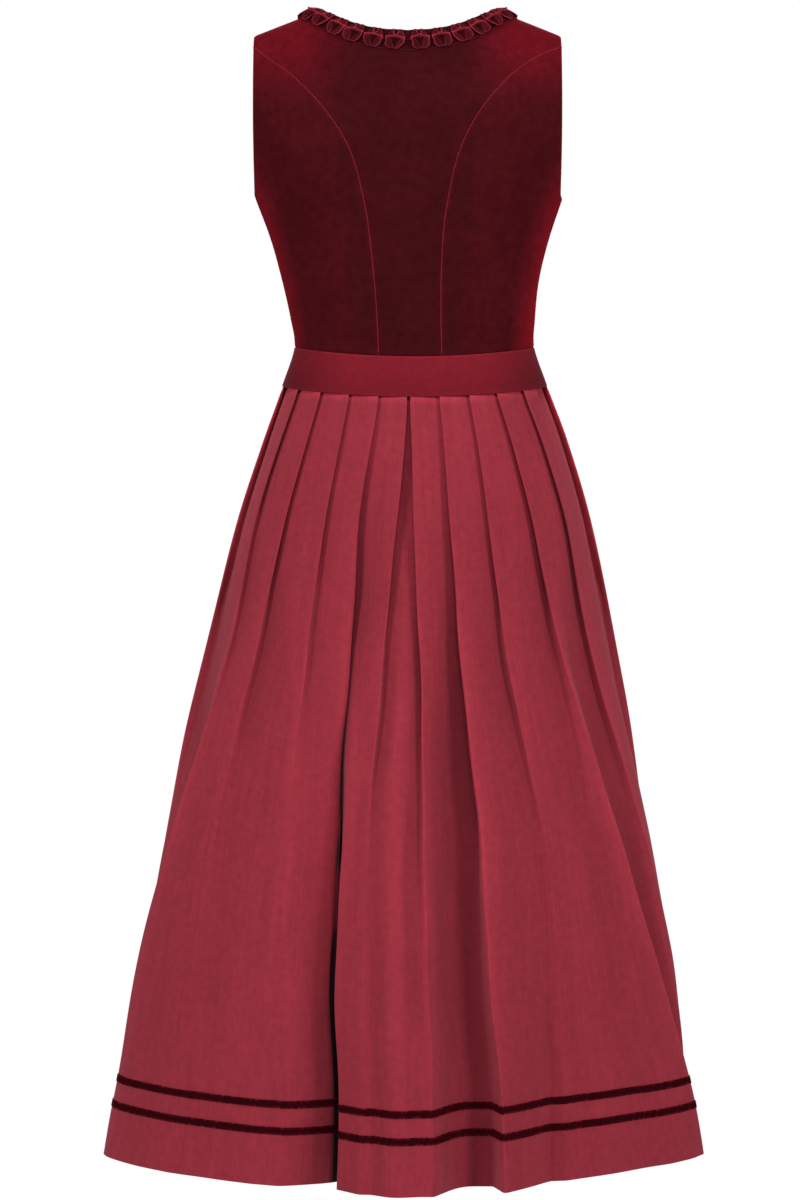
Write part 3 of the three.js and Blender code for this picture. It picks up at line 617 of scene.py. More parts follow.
def half_line(side, height):
    """Ways along the ring and depths inside it, (rows, bends), from centre back to front."""
    ring = half_ring(side, skirt_up(height))
    length = ring["length"]
    pleats = LEFT_PLEATS if side < 0 else RIGHT_PLEATS
    grow = height**FOLD_GROWTH
    spacing = LAYER_SPACING + LAYER_GROWTH * np.minimum(height, LAYERS_GROWN)
    none = np.zeros_like(length)
    beyond = {"way": length, "depth": none, "edge": length, "floor": none,
              "opens": SIDE_OPENS, "mouth": (0, 0)}
    line = []
    for count, pleat in enumerate(reversed(pleats)):
        *at, opens, stands, pleat_drop, pleat_slope, mouth, mouth_depth = pleat
        edge = read(table(*zip(STATIONS, at)), 1, height) * length
        edge = edge + wander(height, side * (count + 1))
        under = UNDERLAY * (1 - smooth(height, 0, opens))
        slope = pleat_slope * smooth(height, opens * SLOPE_STARTS, 1)
        lasting = 1 - smooth(height, opens, opens + UNDERLAY_FADES)
        top = -stands * grow
        drop = np.maximum(mix(2 * spacing * lasting, pleat_drop, grow), LEAST_DROP)
        opened = smooth(height, 0, beyond["opens"])
        mouth_way = mix(beyond["edge"], (edge + beyond["way"]) / 2, opened)
        mouth_in = mix(beyond["floor"], (top + beyond["depth"]) / 2, opened)
        if beyond["mouth"][0]:
            settled = smooth(height, *MOUTH_SETTLES)
            share, depth = beyond["mouth"]
            mouth_way = mix(mouth_way, mix(beyond["edge"], edge, share), settled)
            mouth_in = mix(mouth_in, depth * np.sqrt(height), settled)
        if count == 0:
            mouth_way = (edge + length) / 2
        tilt = under * (mouth_in - top) / (mouth_way - edge)
        steep = grow if pleat_drop > STEEP_FROM * pleat_slope else 0
        turn_way = slope * mix(TURN[0], STEEP_TURN[0], steep)
        turn_drop = drop * mix(TURN[1], STEEP_TURN[1], steep)
        valley = (edge + under - slope, top + drop + tilt)
        line = [
            valley,
            (edge + under - turn_way, top + turn_drop + tilt),
            (edge - turn_way * LIP[0], top + drop * LIP[1]),
            (edge, top),
            (mouth_way, mouth_in),
        ] + line
        beyond = {"way": valley[0], "depth": valley[1], "edge": edge, "floor": top + drop,
                  "opens": opens, "mouth": (mouth, mouth_depth)}
    ways, depths = (np.stack([bend[part] for bend in line], -1) for part in (0, 1))
    return ring, ways, depths


# %% [markdown]
# The two halves meet at centre back in one proud fold, and the strip is cut in two under the
# pleat at each side, where a dressmaker hides the side seams. Bends are tight at the waist, where
# an iron pressed them, and grow round toward the hem, so one drawing gives both. On the left the
# deep central fold has a crisp rim, and the edge beside it has gone soft.

# %% Both halves as one line of corners
CENTRE_STANDS = 24
SIDE_PLEAT = 6
SEAM_SHARE = 0.3
COTTON_MIDDLE = 0.5
BENDS = {
    # kind: radius at the waist, radius at the hem, points along the bend
    "valley": (1.5, 12, 4), "turn": (2, 9, 3), "lip": (2, 8, 3), "edge": (0.8, 5, 5),
    "mouth": (20, 30, 5), "centre": (6, 20, 7), "rim": (2, 3, 5), "soft edge": (0.8, 28, 6),
}
KINDS = ("valley", "turn", "lip", "edge", "mouth")
RIM_AT = 4
SOFT_EDGE_AT = 8


def skirt_corners(height, behind):
    """The corners of the folded line as x, y and depth inside the ring, with the kind of each."""
    halves = []
    for side in (-1, 1):
        ring, ways, depths = half_line(side, height)
        points = np.concatenate([on_ring(ring, ways, depths + COTTON_MIDDLE), depths[..., None]], -1)
        cut = len(KINDS) * SIDE_PLEAT
        before, after = points[:, cut - 1], points[:, cut]
        lap = SEAM_OVERLAP / 2 / np.linalg.norm((after - before)[:, :2], axis=-1, keepdims=True)
        seam = mix(before, after, 1 - SEAM_SHARE + (lap if behind else -lap))[:, None]
        kinds = list(KINDS) * (ways.shape[1] // len(KINDS))
        if side < 0:
            kinds[RIM_AT], kinds[SOFT_EDGE_AT] = "rim", "soft edge"
        if behind:
            chosen, names = np.concatenate([points[:, :cut], seam], 1), kinds[:cut] + ["seam"]
        else:
            chosen, names = np.concatenate([seam, points[:, cut:]], 1), ["seam"] + kinds[cut:]
        halves.append((ring, ways, depths, chosen, names))
    left, right = halves
    ring = right[0]
    if behind:
        way = (right[1][:, :1] - left[1][:, :1]) / 2
        folded = (left[2][:, :1] + right[2][:, :1]) / 2
        depth = mix(folded, -CENTRE_STANDS, (height**FOLD_GROWTH)[:, None])
        first, last = left, right
    else:
        way, depth = ring["length"][:, None], np.zeros((len(height), 1))
        first, last = right, left
    centre = np.concatenate([on_ring(ring, way, depth + COTTON_MIDDLE), depth[..., None]], -1)
    if behind:
        points = np.concatenate([first[3][:, ::-1], centre, last[3]], 1)
        return points, first[4][::-1] + ["centre"] + last[4]
    points = np.concatenate([first[3], centre, last[3][:, ::-1]], 1)
    return points, first[4] + ["centre"] + last[4][::-1]


# %% [markdown]
# A line of corners becomes cloth when each corner is replaced by a short curve. The curve starts
# and ends on the two straight sides of the corner, so the cloth never leaves its frame. A mask
# marks where the cloth is pressed into an outer fold, and the finish makes the tone a little
# lighter there.

# %% Corners become curves
FACE_STEPS = 4
SHORT_STEPS = 2
MOST_OF_A_SIDE = 0.45


def laid_line(corners, kinds, height, bends=BENDS, face_steps=FACE_STEPS):
    """Cloth points (rows, columns, values) and the mask of folds. The first two values of a
    corner are its place; any others are carried along."""
    rows, columns = corners.shape[:2]
    reach = np.linalg.norm(np.diff(corners[..., :2], axis=1), axis=-1)
    points, fold = [corners[:, :1]], [np.zeros((rows, 1))]
    left_at = corners[:, :1]
    for k in range(1, columns):
        bend = bends.get(kinds[k])
        here = corners[:, k:k + 1]
        count = 1
        start = stop = curve = here
        if bend and k < columns - 1:
            count = bend[2]
            radius = mix(bend[0], bend[1], height)
            into = np.minimum(radius / reach[:, k - 1], MOST_OF_A_SIDE)[:, None, None]
            out = np.minimum(radius / reach[:, k], MOST_OF_A_SIDE)[:, None, None]
            start = mix(here, corners[:, k - 1:k], into)
            stop = mix(here, corners[:, k + 1:k + 2], out)
            t = np.linspace(0, 1, count)[None, :, None]
            curve = (1 - t)**2 * start + 2 * t * (1 - t) * here + t**2 * stop
        steps = face_steps if {kinds[k - 1], kinds[k]} & {"mouth", "centre", "rim"} else SHORT_STEPS
        share = (np.arange(1, steps) / steps)[None, :]
        points += [mix(left_at, start, share[..., None]), curve]
        peak = np.sin(np.linspace(0, math.pi, count + 2)[1:-1]) * ("edge" in kinds[k].split())
        fold += [np.zeros((rows, 1)) + 0 * share, np.zeros((rows, 1)) + peak]
        left_at = stop
    return np.concatenate(points, 1), np.concatenate(fold, 1)


def grain(down, share, cells, seed):
    """Smooth random hills, about -1 to 1, over shares of the cloth's height and width."""
    knots = np.random.default_rng(seed).uniform(-1, 1, (cells[0] + 2, cells[1] + 2))
    r, c = np.clip(down, 0, 1) * cells[0] + 0 * share, np.clip(share, 0, 1) * cells[1] + 0 * down
    r0, c0 = r.astype(int), c.astype(int)
    rt, ct = smooth(r - r0, 0, 1), smooth(c - c0, 0, 1)
    top = mix(knots[r0, c0], knots[r0, c0 + 1], ct)
    low = mix(knots[r0 + 1, c0], knots[r0 + 1, c0 + 1], ct)
    return mix(top, low, rt)


# %% [markdown]
# Deep between two folds the cloth sees little of the room, so it falls dark, and its colour is
# painted darker than soft light alone would leave it, because dyed cotton swallows light that
# bounces: painted shade. The mask for this painted shade is measured from the cloth's shape:
# from each point of a level line, how high does the cloth rise to its left and to its right?
# Open cloth gives 0, the bottom of a closed fold gives 1. A point that lies under another layer
# is never seen, so it takes its value from its nearest seen neighbours.

# %% How far a point is walled in
WALL_REACH = 140
COVER = 1.5


def evened(rows, times):
    """Each column averaged with its neighbours in the rows before and after."""
    for _ in range(times):
        padded = np.pad(rows, [(1, 1), (0, 0)], mode="edge")
        rows = (padded[:-2] + 2 * padded[1:-1] + padded[2:]) / 4
    return rows


def walled_in(points, up):
    """By both walls together and by the lower of the two, 0 to 1. points: (rows, columns, 2 or
    more), x and y of level lines at heights up."""
    half, shift, back, front, _ = [value[:, None] for value in outline(up)]
    x, y = points[..., 0] - shift, points[..., 1]
    outward = unit(np.stack([x / half**2, y / np.where(y < 0, back, front)**2], -1))
    closed = np.empty((2, *points.shape[:2]))
    for row in range(len(points)):
        away = points[row, None, :, :2] - points[row, :, None, :2]
        out = outward[row, :, None]
        rise = dot(away, out)
        along = away[..., 1] * out[..., 0] - away[..., 0] * out[..., 1]
        angle = np.where(np.abs(along) < WALL_REACH, np.arctan2(rise, np.abs(along) + 1e-3), 0)
        sides = [np.where(along * side >= 0, angle, 0).max(-1) for side in (-1, 1)]
        seen = np.flatnonzero(~((np.abs(along) < COVER) & (rise > COVER)).any(-1))
        walls = np.stack([sides[0] + sides[1], 2 * np.minimum(*sides)]) / math.pi
        closed[:, row] = [np.interp(np.arange(len(away)), seen, wall[seen]) for wall in walls]
    return [evened(evened(wall.clip(0, 1).T, 1).T, 2) for wall in closed]


# %% [markdown]
# Walls alone say nothing about gentle waves. A second measure does: how far a point lies below
# the mean of the cloth a few centimetres to each side. Dips come out near 1 and swells near -1.

# %% How far a point is sunk
BESIDE, SUNK_FULLY = 32, 10


def sunk(depth, way):
    """How far the cloth lies below the mean of what is beside it, about -1 to 1."""
    steps = np.diff(way, axis=1) * (depth[:, 1:] + depth[:, :-1]) / 2
    total = np.pad(np.cumsum(steps, 1), [(0, 0), (1, 0)])
    mean = np.empty_like(depth)
    for row in range(len(way)):
        before, after = (np.clip(way[row] + side * BESIDE, 0, way[row, -1]) for side in (-1, 1))
        found = [np.interp(at, way[row], total[row]) for at in (before, after)]
        mean[row] = (found[1] - found[0]) / (after - before)
    return np.tanh((depth - mean) / SUNK_FULLY)


# %% [markdown]
# Cotton that has been pressed, packed and hung again keeps soft troughs between its pleats. They
# run nearly upright, start and stop at uneven heights and differ in depth. A few are placed one by
# one on each side, and gentle random hills fill the rest.

# %% Soft creases of the skirt
CREASES = {
    True: [
        # share of the width, where it starts and ends down the skirt, lean, depth, half width
        (0.085, 0.35, 0.95, 0.02, 2.6, 9), (0.150, 0.62, 1.05, -0.01, 2.2, 10),
        (0.215, 0.45, 0.90, 0.015, 1.8, 8), (0.290, 0.60, 1.05, 0.01, 2.4, 9),
        (0.370, 0.40, 0.80, 0.01, 1.4, 7), (0.440, 0.66, 1.05, -0.012, 1.6, 8),
        (0.487, 0.38, 0.86, 0.107, 4.0, 6),
        (0.560, 0.55, 0.95, 0.01, 1.5, 8), (0.640, 0.60, 1.05, 0.008, 2.0, 9),
        (0.735, 0.52, 1.05, 0.012, 2.6, 8), (0.800, 0.45, 0.92, -0.015, 2.0, 10),
        (0.870, 0.38, 1.00, 0.012, 2.8, 9), (0.940, 0.50, 1.05, -0.01, 2.0, 8),
    ],
    False: [
        (0.090, 0.40, 1.00, 0.015, 2.4, 9), (0.190, 0.55, 1.05, -0.012, 2.0, 9),
        (0.300, 0.35, 0.88, 0.010, 1.6, 8), (0.420, 0.60, 1.05, 0.012, 2.2, 10),
        (0.540, 0.45, 0.95, -0.015, 1.8, 8), (0.660, 0.58, 1.05, 0.010, 2.4, 9),
        (0.780, 0.38, 0.90, 0.014, 1.8, 8), (0.900, 0.52, 1.05, -0.01, 2.2, 9),
    ],
}
CREASE_DEPTH, CREASE_WIDTH = 0.6, 1.6
CREASE_STARTS_OVER, CREASE_ENDS_OVER = 0.25, 0.12
HILLS = (((4, 18), 1.0, 0), ((9, 48), 0.35, 20))  # cells down and across, height, added to seed
HILL_SEEDS = {True: 11, False: 12}
HILLS_RISE = (0.08, 0.7)


def creased(down, share, width, behind):
    """How far the placed creases press the cloth in, in millimetres."""
    trough = 0 * share
    for at, start, stop, lean, depth, half_wide in CREASES[behind]:
        off = (share - at - lean * (down - start)) * width
        fade = smooth(down, start, start + CREASE_STARTS_OVER)
        fade = fade * (1 - smooth(down, stop - CREASE_ENDS_OVER, stop))
        across = np.exp(-(off / (CREASE_WIDTH * half_wide)) ** 2)
        trough = trough + CREASE_DEPTH * depth * fade * across
    return trough


def hilly(down, share, behind):
    """How far the random hills lift the cloth, in millimetres."""
    hills = sum(high * grain(down, share, cells, HILL_SEEDS[behind] + more)
                for cells, high, more in HILLS)
    return smooth(down, *HILLS_RISE) * hills


print("creases placed:", sum(len(placed) for placed in CREASES.values()))

# %% [markdown]
# One mask gathers how much shade is painted into the skirt's colour. Its main part is how far
# the point is walled in. Folds with two high walls are darkened once more, dips are shaded and
# swells lit, and each placed crease adds a breath of shade. The pleat heads under the waistband
# face up to the light, and the sides of the skirt see past its edge, so both are painted lighter.

# %% Shade in the folds
HOLLOW_GROWS = (0.04, 0.3)
DEEP_SHADE = 2.2
DEEP_RISES = (0.185, 0.28)
DEEP_BELOW = (0.3, 0.4)
HEAD_LIGHT, HEAD_BELOW = 0.9, 0.009
RELIEF_SHADE, RELIEF_LIGHT = 0.3, 0.9
RELIEF_BELOW, RELIEF_FADES = (0.15, 0.35), (0.5, 1.1)
CREASE_SHADE = 0.055
SIDE_TURNS = (0.88, 0.97)
SIDE_LIGHT, SIDE_LIT_TO = 2.2, (0.10, 0.30)


def fold_shade(height, flat, walls, relief, trough):
    """walls and relief are what walled_in and sunk found; trough is how deep a crease is."""
    painted_shade, lower_wall = walls
    down = height[:, None]
    deep = smooth(painted_shade * lower_wall, *DEEP_RISES) * smooth(down, *DEEP_BELOW)
    relief = relief * np.where(relief > 0, RELIEF_SHADE, RELIEF_LIGHT) * smooth(down, *RELIEF_BELOW)
    relief = relief * (1 - smooth(down, *RELIEF_FADES))
    heads = HEAD_LIGHT * (1 - smooth(down, 0, HEAD_BELOW))
    half, shift, *_ = outline(skirt_up(height))
    beside = np.abs(flat[..., 0] - shift[:, None]) / half[:, None]
    side = smooth(beside, *SIDE_TURNS) * (1 - smooth(down, *SIDE_LIT_TO))
    shade = (smooth(down, *HOLLOW_GROWS) - SIDE_LIGHT * side) * painted_shade + DEEP_SHADE * deep
    return shade + relief + CREASE_SHADE * trough - heads


# %% [markdown]
# The skirt's surface puts it together: the folded line at every height, pushed in and out by
# creases and hills. The push fades in closed folds, where cloth lies on cloth, at the side seams,
# where both parts must meet, and a little at the hem. The top few millimetres are drawn in under
# the waistband.

# %% The skirt's surface
HEAD_TUCK = {"depth": 0.8, "reach": 7.0}
ENDS_LIE_FLAT = 0.015
FOLDS_CLOSED = (0.3, 0.7)
HEM_CALMS, HEM_CALM = (0.9, 1.0), 0.3
LIGHTENING_FADES, LIGHTENING_LOSS = (0.55, 0.9), 0.75


def skirt_surface(height, behind):
    """The skirt's middle surface (rows, columns, 3) with its masks. Heights run hem to waist."""
    corners, kinds = skirt_corners(height, behind)
    flat, fold = laid_line(corners, kinds, height)
    walls = walled_in(flat, skirt_up(height))
    size = flat.shape[:2]
    points = place(flat[..., 0], flat[..., 1], skirt_up(height)[:, None] + 0 * flat[..., 0])
    way = lengths(points, 1)
    share = way / way[:, -1:]
    down = height[:, None]
    trough = creased(down, share, way[:, -1:], behind)
    push = hilly(down, share, behind) - trough
    push = push * smooth(np.minimum(share, 1 - share), 0, ENDS_LIE_FLAT)
    across = np.gradient(points, axis=1)
    outward = unit(np.stack([across[..., 1], -across[..., 0], 0 * push], -1))
    outward = unit(outward + np.roll(outward, 1, 1) + np.roll(outward, -1, 1))
    quiet = 1 - smooth(down, *HEM_CALMS) * HEM_CALM
    open_cloth = 1 - np.clip(walls[0], 0, 1) * (1 - smooth(down, *FOLDS_CLOSED))
    points = points + outward * (push * quiet * open_cloth)[..., None]
    head = np.clip(1 - (down * (SKIRT_TOP_UP - HEM_UP)) / HEAD_TUCK["reach"], 0, 1) ** 2
    points = points - outward * (HEAD_TUCK["depth"] * head)[..., None]
    # Second mask: painted shade in folds and creases, painted light on pleat heads and sides.
    masks = {
        "fold": fold * (1 - smooth(down, *LIGHTENING_FADES) * LIGHTENING_LOSS),
        "painted_shade": fold_shade(height, flat, walls, sunk(flat[..., 2] - push, way), trough),
    }
    return points, {name: np.broadcast_to(value, size) for name, value in masks.items()}


# %% [markdown]
# The waistband is a smooth doubled strip. Its edges are turned in, so the outer face swells a
# little between two rolled edges and stands proud of the pleat heads it holds. Its masks paint a
# highlight along both rolled edges, and paint shade toward its lower edge and round its sides.

# %% The waistband
BAND_SIDE_SHARE = 0.497
BAND_GAP_SHARE = -0.00012
BAND_WALL = 2
BAND_ROWS = 20
BAND_SWELL = 1.0
BAND_ROLL = 1.2
EDGE_SWELL, SWELLS_OVER = 0.75, 14
BAND_EDGE_HIGHLIGHT = (0.3, 1.6)
BAND_SIDE_SHADE, BAND_SIDE_FROM = 1.6, 0.5


def band_part(start, stop, columns):
    """One part of the band, its swell and its masks; start and stop are shares of a half ring."""
    level = mix(-BAND_DEPTH, -SEAM_GAP, crowded(BAND_ROWS))
    along = np.linspace(start, stop, columns)
    flat = np.empty((BAND_ROWS, columns, 2))
    for side in (-1, 1):
        on_side = along < 0 if side < 0 else along >= 0
        if on_side.any():
            ring = half_ring(side, level)
            way = np.abs(along[on_side])[None, :] * ring["length"][:, None]
            flat[:, on_side] = on_ring(ring, way, np.full(way.shape, BAND_WALL / 2))
    points = place(flat[..., 0], flat[..., 1], level[:, None] + 0 * flat[..., 0])
    edge = np.minimum(level + BAND_DEPTH, -level - SEAM_GAP)[:, None]
    roll = np.clip(edge / BAND_ROLL, 0, 1)
    swell = BAND_SWELL * np.sqrt(1 - (1 - roll) ** 2) * mix(EDGE_SWELL, 1, smooth(edge, 0, SWELLS_OVER))
    # Painted highlight along both rolled edges.
    edges = np.broadcast_to(1 - smooth(edge, *BAND_EDGE_HIGHLIGHT), points.shape[:2])
    # Painted shade: darker round the sides and toward the lower edge.
    half, shift, *_ = outline(level)
    sideways = np.abs(points[..., 0] - shift[:, None]) / half[:, None]
    dim = BAND_SIDE_SHADE * smooth(sideways, BAND_SIDE_FROM, 1)
    dim = (1 - smooth(level, -BAND_DEPTH, 0))[:, None] + dim
    return points, swell, {"fold": edges, "painted_shade": dim}


# %% [markdown]
# The neck is trimmed with a box-pleated velvet strip known as frog's mouths: each pleat is
# tacked together at one point, so its two folded edges pinch there, spread into a fan above and
# open below into two round lips. The strip follows the neck edge over both shoulders, so first
# a way along that edge is needed, and a way from it onto the panels.

# %% A strip of places along the neck edge
NECK_BACK_SHARE = 0.3
TRIM_PROBE = 0.004
TRIM_RISE = 1
TRIM_WIDTH = 23
TRIM_LIFT = 0.7
STRIP_ROWS = 401
STRIP_COLUMNS = 8


def neck_edge(side, along):
    turn = np.minimum(along / NECK_BACK_SHARE, 1) * math.pi / 2
    back_across = NECK_REACH * np.sin(turn)
    back_way = -over_shoulder(back_across, read(BACK_NECK, 1, back_across))
    rise = np.clip((1 - along) / (1 - NECK_BACK_SHARE), 0, 1)
    across = np.maximum(read(FRONT_NECK, 1, rise), SEAM_GAP)
    up = read(FRONT_NECK, 2, rise)
    front_x = side * across + outline(up)[1]
    front_way = over_shoulder(np.abs(front_x - NECK_SHIFT), up)
    behind = along <= NECK_BACK_SHARE
    return (np.where(behind, side * back_across + NECK_SHIFT, front_x),
            np.where(behind, back_way, front_way))


def neck_strip(side):
    along = np.linspace(0, 1, STRIP_ROWS)
    x, way = neck_edge(side, along)
    before = bodice_point(*neck_edge(side, np.maximum(along - TRIM_PROBE, 0)))
    after = bodice_point(*neck_edge(side, np.minimum(along + TRIM_PROBE, 1)))
    onward = unit(after - before)
    points, normals = [], []
    for step in [-TRIM_RISE] + [TRIM_WIDTH / STRIP_COLUMNS] * STRIP_COLUMNS:
        across_step = bodice_point(x + PROBE, way) - bodice_point(x - PROBE, way)
        way_step = bodice_point(x, way + PROBE) - bodice_point(x, way - PROBE)
        normal = unit(np.cross(across_step, way_step))
        away = np.cross(onward, normal) * side
        aa, ww = dot(across_step, across_step), dot(way_step, way_step)
        aw = dot(across_step, way_step)
        da, dw = dot(away, across_step), dot(away, way_step)
        det = aa * ww - aw * aw
        x, way = x + step * (da * ww - dw * aw) / det, way + step * (dw * aa - da * aw) / det
        points.append(bodice_point(x, way))
        normals.append(normal)
    points, normals = np.stack(points, 1), np.stack(normals, 1)
    return {"points": points, "normals": normals, "ways": lengths(points, 0)[:, STRIP_COLUMNS // 2]}


def on_strip(strip, way, off_edge, lift):
    """Points at a way along the neck edge, a distance from it and a height above the panel."""
    i = np.interp(way, strip["ways"], np.arange(len(strip["ways"])))
    j = np.clip(off_edge / TRIM_WIDTH, 0, 1) * STRIP_COLUMNS
    i0 = np.minimum(i.astype(int), len(strip["ways"]) - 2)
    j0 = np.minimum(j.astype(int), STRIP_COLUMNS - 1)
    it, jt = (i - i0)[..., None], (j - j0)[..., None]
    found = [mix(mix(grid[i0, j0], grid[i0 + 1, j0], it),
                 mix(grid[i0, j0 + 1], grid[i0 + 1, j0 + 1], it), jt)
             for grid in (strip["points"], strip["normals"])]
    return found[0] + unit(found[1]) * lift[..., None]


# %% [markdown]
# One pleat of the trim opens like a flower of four petals: two round lips below the tack and two
# narrow fans above it. It is drawn as a cross-section that changes with height, with two folds on
# each side of the middle. The outer fold is the rim of a lip and the far edge of a fan; the inner
# fold bounds the dark slit and runs up from the tack. No two pleats of such a trim are alike, so
# each one gets its own chances, from one seed.

# %% The shape of a trim pleat
MOUTH = table(
    # share of the width, outer fold: out, lift, shine; inner fold: out, lift, shine; middle lift
    (0.00, 3.4, 2.0, 0.80, 0.9, 1.8, 0.55, 0.6), (0.04, 5.6, 3.0, 0.90, 0.9, 2.2, 0.45, 0.5),
    (0.12, 7.8, 3.9, 0.90, 1.4, 2.4, 0.30, 0.5), (0.25, 9.4, 4.6, 0.85, 2.6, 2.6, 0.20, 0.5),
    (0.38, 10.2, 5.0, 0.90, 4.2, 2.8, 0.15, 0.5), (0.48, 10.6, 5.0, 1.00, 5.4, 3.2, 0.10, 0.6),
    (0.53, 10.6, 4.8, 1.00, 5.4, 4.2, 0.30, 1.0), (0.56, 10.2, 3.9, 0.90, 4.2, 5.2, 0.80, 2.6),
    (0.59, 9.8, 3.3, 0.80, 0.7, 5.6, 1.00, 4.6), (0.63, 9.4, 3.0, 0.80, 1.0, 5.2, 1.00, 3.0),
    (0.75, 8.0, 2.5, 0.80, 1.9, 3.9, 0.95, 1.4), (0.90, 6.4, 1.7, 0.80, 2.8, 2.4, 0.90, 0.8),
    (1.00, 5.6, 1.0, 0.80, 3.2, 1.4, 0.90, 0.5),
)
MOUTH_ROWS = np.array([
    0, 0.025, 0.06, 0.1, 0.15, 0.2, 0.26, 0.32, 0.38, 0.43, 0.47, 0.495, 0.512, 0.528, 0.543,
    0.557, 0.57, 0.583, 0.6, 0.63, 0.68, 0.74, 0.82, 0.9, 1.0])
print("rows of a trim pleat:", len(MOUTH_ROWS))

# %% [markdown]
# The cross-section at each row is a line of nine corners: the valley at either end, a hidden
# fold under each rim, the two rims, the two inner folds and the middle. Its tone is a painted sheen
# that grows along the rims of the petals, at their tips and on the cut edge, with a painted
# highlight along the top rim of each lip.

# %% One pleat of the trim
UNITS_A_SIDE = 21
TACK_SHARE = 0.59
MOUTH_MARGIN = 0.8
VALLEY_LIFT = 0.3
UNDER_FOLD = {"out": 4.6, "inside rim": 1.2, "lift": 0.6}
LIPS_VARY_TO = 0.3
TRIM_BENDS = {"edge": (0.7, 0.7, 5), "inner edge": (0.6, 0.6, 5), "centre": (0.8, 0.8, 3),
              "under": (0.5, 0.5, 3)}
TRIM_KINDS = ["rim", "under", "edge", "inner edge", "centre", "inner edge", "edge", "under", "rim"]
PETAL_SHEEN = {"base": 0.04, "outer": 0.11, "inner": 0.05, "corner": 0.30, "hem": 0.35}
PETAL_CORNER_AT, PETAL_CORNER_HALF = 0.5, 0.07
LIP_RIM_HIGHLIGHT = {"tone": 0.65, "below": 0.012, "fall": 0.0055, "half": 0.018, "inside": (-0.3, 0.5)}
CHANCES = {"rows": (-0.02, 0.02), "spread": (0.86, 1.08), "stand": (0.86, 1.12),
           "lip": (-0.3, 0.5), "face": (0.6, 1.5), "inner": (0.75, 1.3), "slit": (-0.5, 0.5)}


def frog_mouth(pitch, chance):
    """Cross-sections of one pleat, (rows, columns, 2): sideways and up; its painted sheen, 0 to 1."""
    arch = np.sin(MOUTH_ROWS * math.pi)
    share = np.clip(MOUTH_ROWS + chance.uniform(*CHANCES["rows"]) * arch, 0, 1)
    none = 0 * share
    low = 1 - smooth(MOUTH_ROWS, 0, LIPS_VARY_TO)
    corner = PETAL_SHEEN["corner"] * np.exp(-((share - PETAL_CORNER_AT) / PETAL_CORNER_HALF) ** 2)
    ends, halves = [], []
    for side in (-1, 1):
        spread = chance.uniform(*CHANCES["spread"])
        stand = chance.uniform(*CHANCES["stand"])
        lip = 1 + chance.uniform(*CHANCES["lip"]) * low
        face = chance.uniform(*CHANCES["face"])
        out, lift, shine, in_out, in_lift, in_shine = (read(MOUTH, column, share)
                                                       for column in range(1, 7))
        out = np.minimum(out * spread * lip, pitch / 2 - MOUTH_MARGIN)
        under = np.minimum(UNDER_FOLD["out"], out - UNDER_FOLD["inside rim"])
        ends.append(out[:, None])
        in_out = in_out * chance.uniform(*CHANCES["inner"])
        halves.append([
            (side * pitch / 2 + none, VALLEY_LIFT + none, PETAL_SHEEN["base"] + none, none),
            (side * under, UNDER_FOLD["lift"] + none, none, none),
            (side * out, lift * stand, PETAL_SHEEN["outer"] * face + corner, shine),
            (side * in_out, in_lift * stand, PETAL_SHEEN["inner"] * face + none, in_shine),
        ])
    slit = chance.uniform(*CHANCES["slit"]) * arch
    line = halves[0] + [(slit, read(MOUTH, 7, share), none, none)] + halves[1][::-1]
    corners = np.stack([np.stack(corner, -1) for corner in line], 1)
    points, fold = laid_line(corners, TRIM_KINDS, none, TRIM_BENDS, 1 + SHORT_STEPS)
    hem = PETAL_SHEEN["hem"] * (MOUTH_ROWS == 0)[:, None]
    away = np.abs(points[..., 0])
    inside = smooth(np.where(points[..., 0] < 0, *ends) - away, *LIP_RIM_HIGHLIGHT["inside"])
    rim_at = TACK_SHARE - LIP_RIM_HIGHLIGHT["below"] - LIP_RIM_HIGHLIGHT["fall"] * away
    rim = LIP_RIM_HIGHLIGHT["tone"] * inside * np.exp(-((share[:, None] - rim_at) / LIP_RIM_HIGHLIGHT["half"])**2)
    lines = np.maximum(np.maximum(fold**3 * points[..., 3], hem), rim)
    return points[..., :2], points[..., 2] + lines


# %% [markdown]
# The strip is a row of such pleats, laid one after the other round the neck edge: from centre
# front up over the left shoulder, round the back and down the right side. Neighbours share a
# valley. Every pleat also leaves the place of its tack, the stitch that pinches it.

# %% The ruched neck trim
TRIM_SEED = 5
TACK = {"half length": 0.6, "radius": 0.8, "lift": 0.1}


def trim_surface():
    chance = np.random.default_rng(TRIM_SEED)
    columns, tones, tacks = [], [], []
    for side in (-1, 1):
        strip = neck_strip(side)
        pitch = strip["ways"][-1] / UNITS_A_SIDE
        units = range(UNITS_A_SIDE)
        for unit_at in (reversed(units) if side < 0 else units):
            section, tone = frog_mouth(pitch, chance)
            peak = section[np.abs(MOUTH_ROWS - TACK_SHARE).argmin(), :, 1].max()
            if columns:
                section, tone = section[:, 1:], tone[:, 1:]
            way = (unit_at + 0.5) * pitch + side * section[..., 0]
            off_edge = (1 - MOUTH_ROWS)[:, None] * TRIM_WIDTH + 0 * way
            columns.append(on_strip(strip, way, off_edge, section[..., 1] + TRIM_LIFT))
            tones.append(tone)
            at = np.array([(unit_at + 0.5) * pitch])
            off = np.array([(1 - TACK_SHARE) * TRIM_WIDTH])
            lift = np.array([TRIM_LIFT + peak + TACK["lift"]])
            for step in (-TACK["half length"], TACK["half length"]):
                tacks.append(on_strip(strip, at + step, off, lift)[0])
    print("trim pleats:", 2 * UNITS_A_SIDE, "pitch", round(float(pitch), 1), "mm")
    # The trim's fold mask is its painted sheen and painted highlights.
    masks = {"fold": np.concatenate(tones, 1)}
    return np.concatenate(columns, 1), masks, np.array(tacks).reshape(-1, 2, 3)


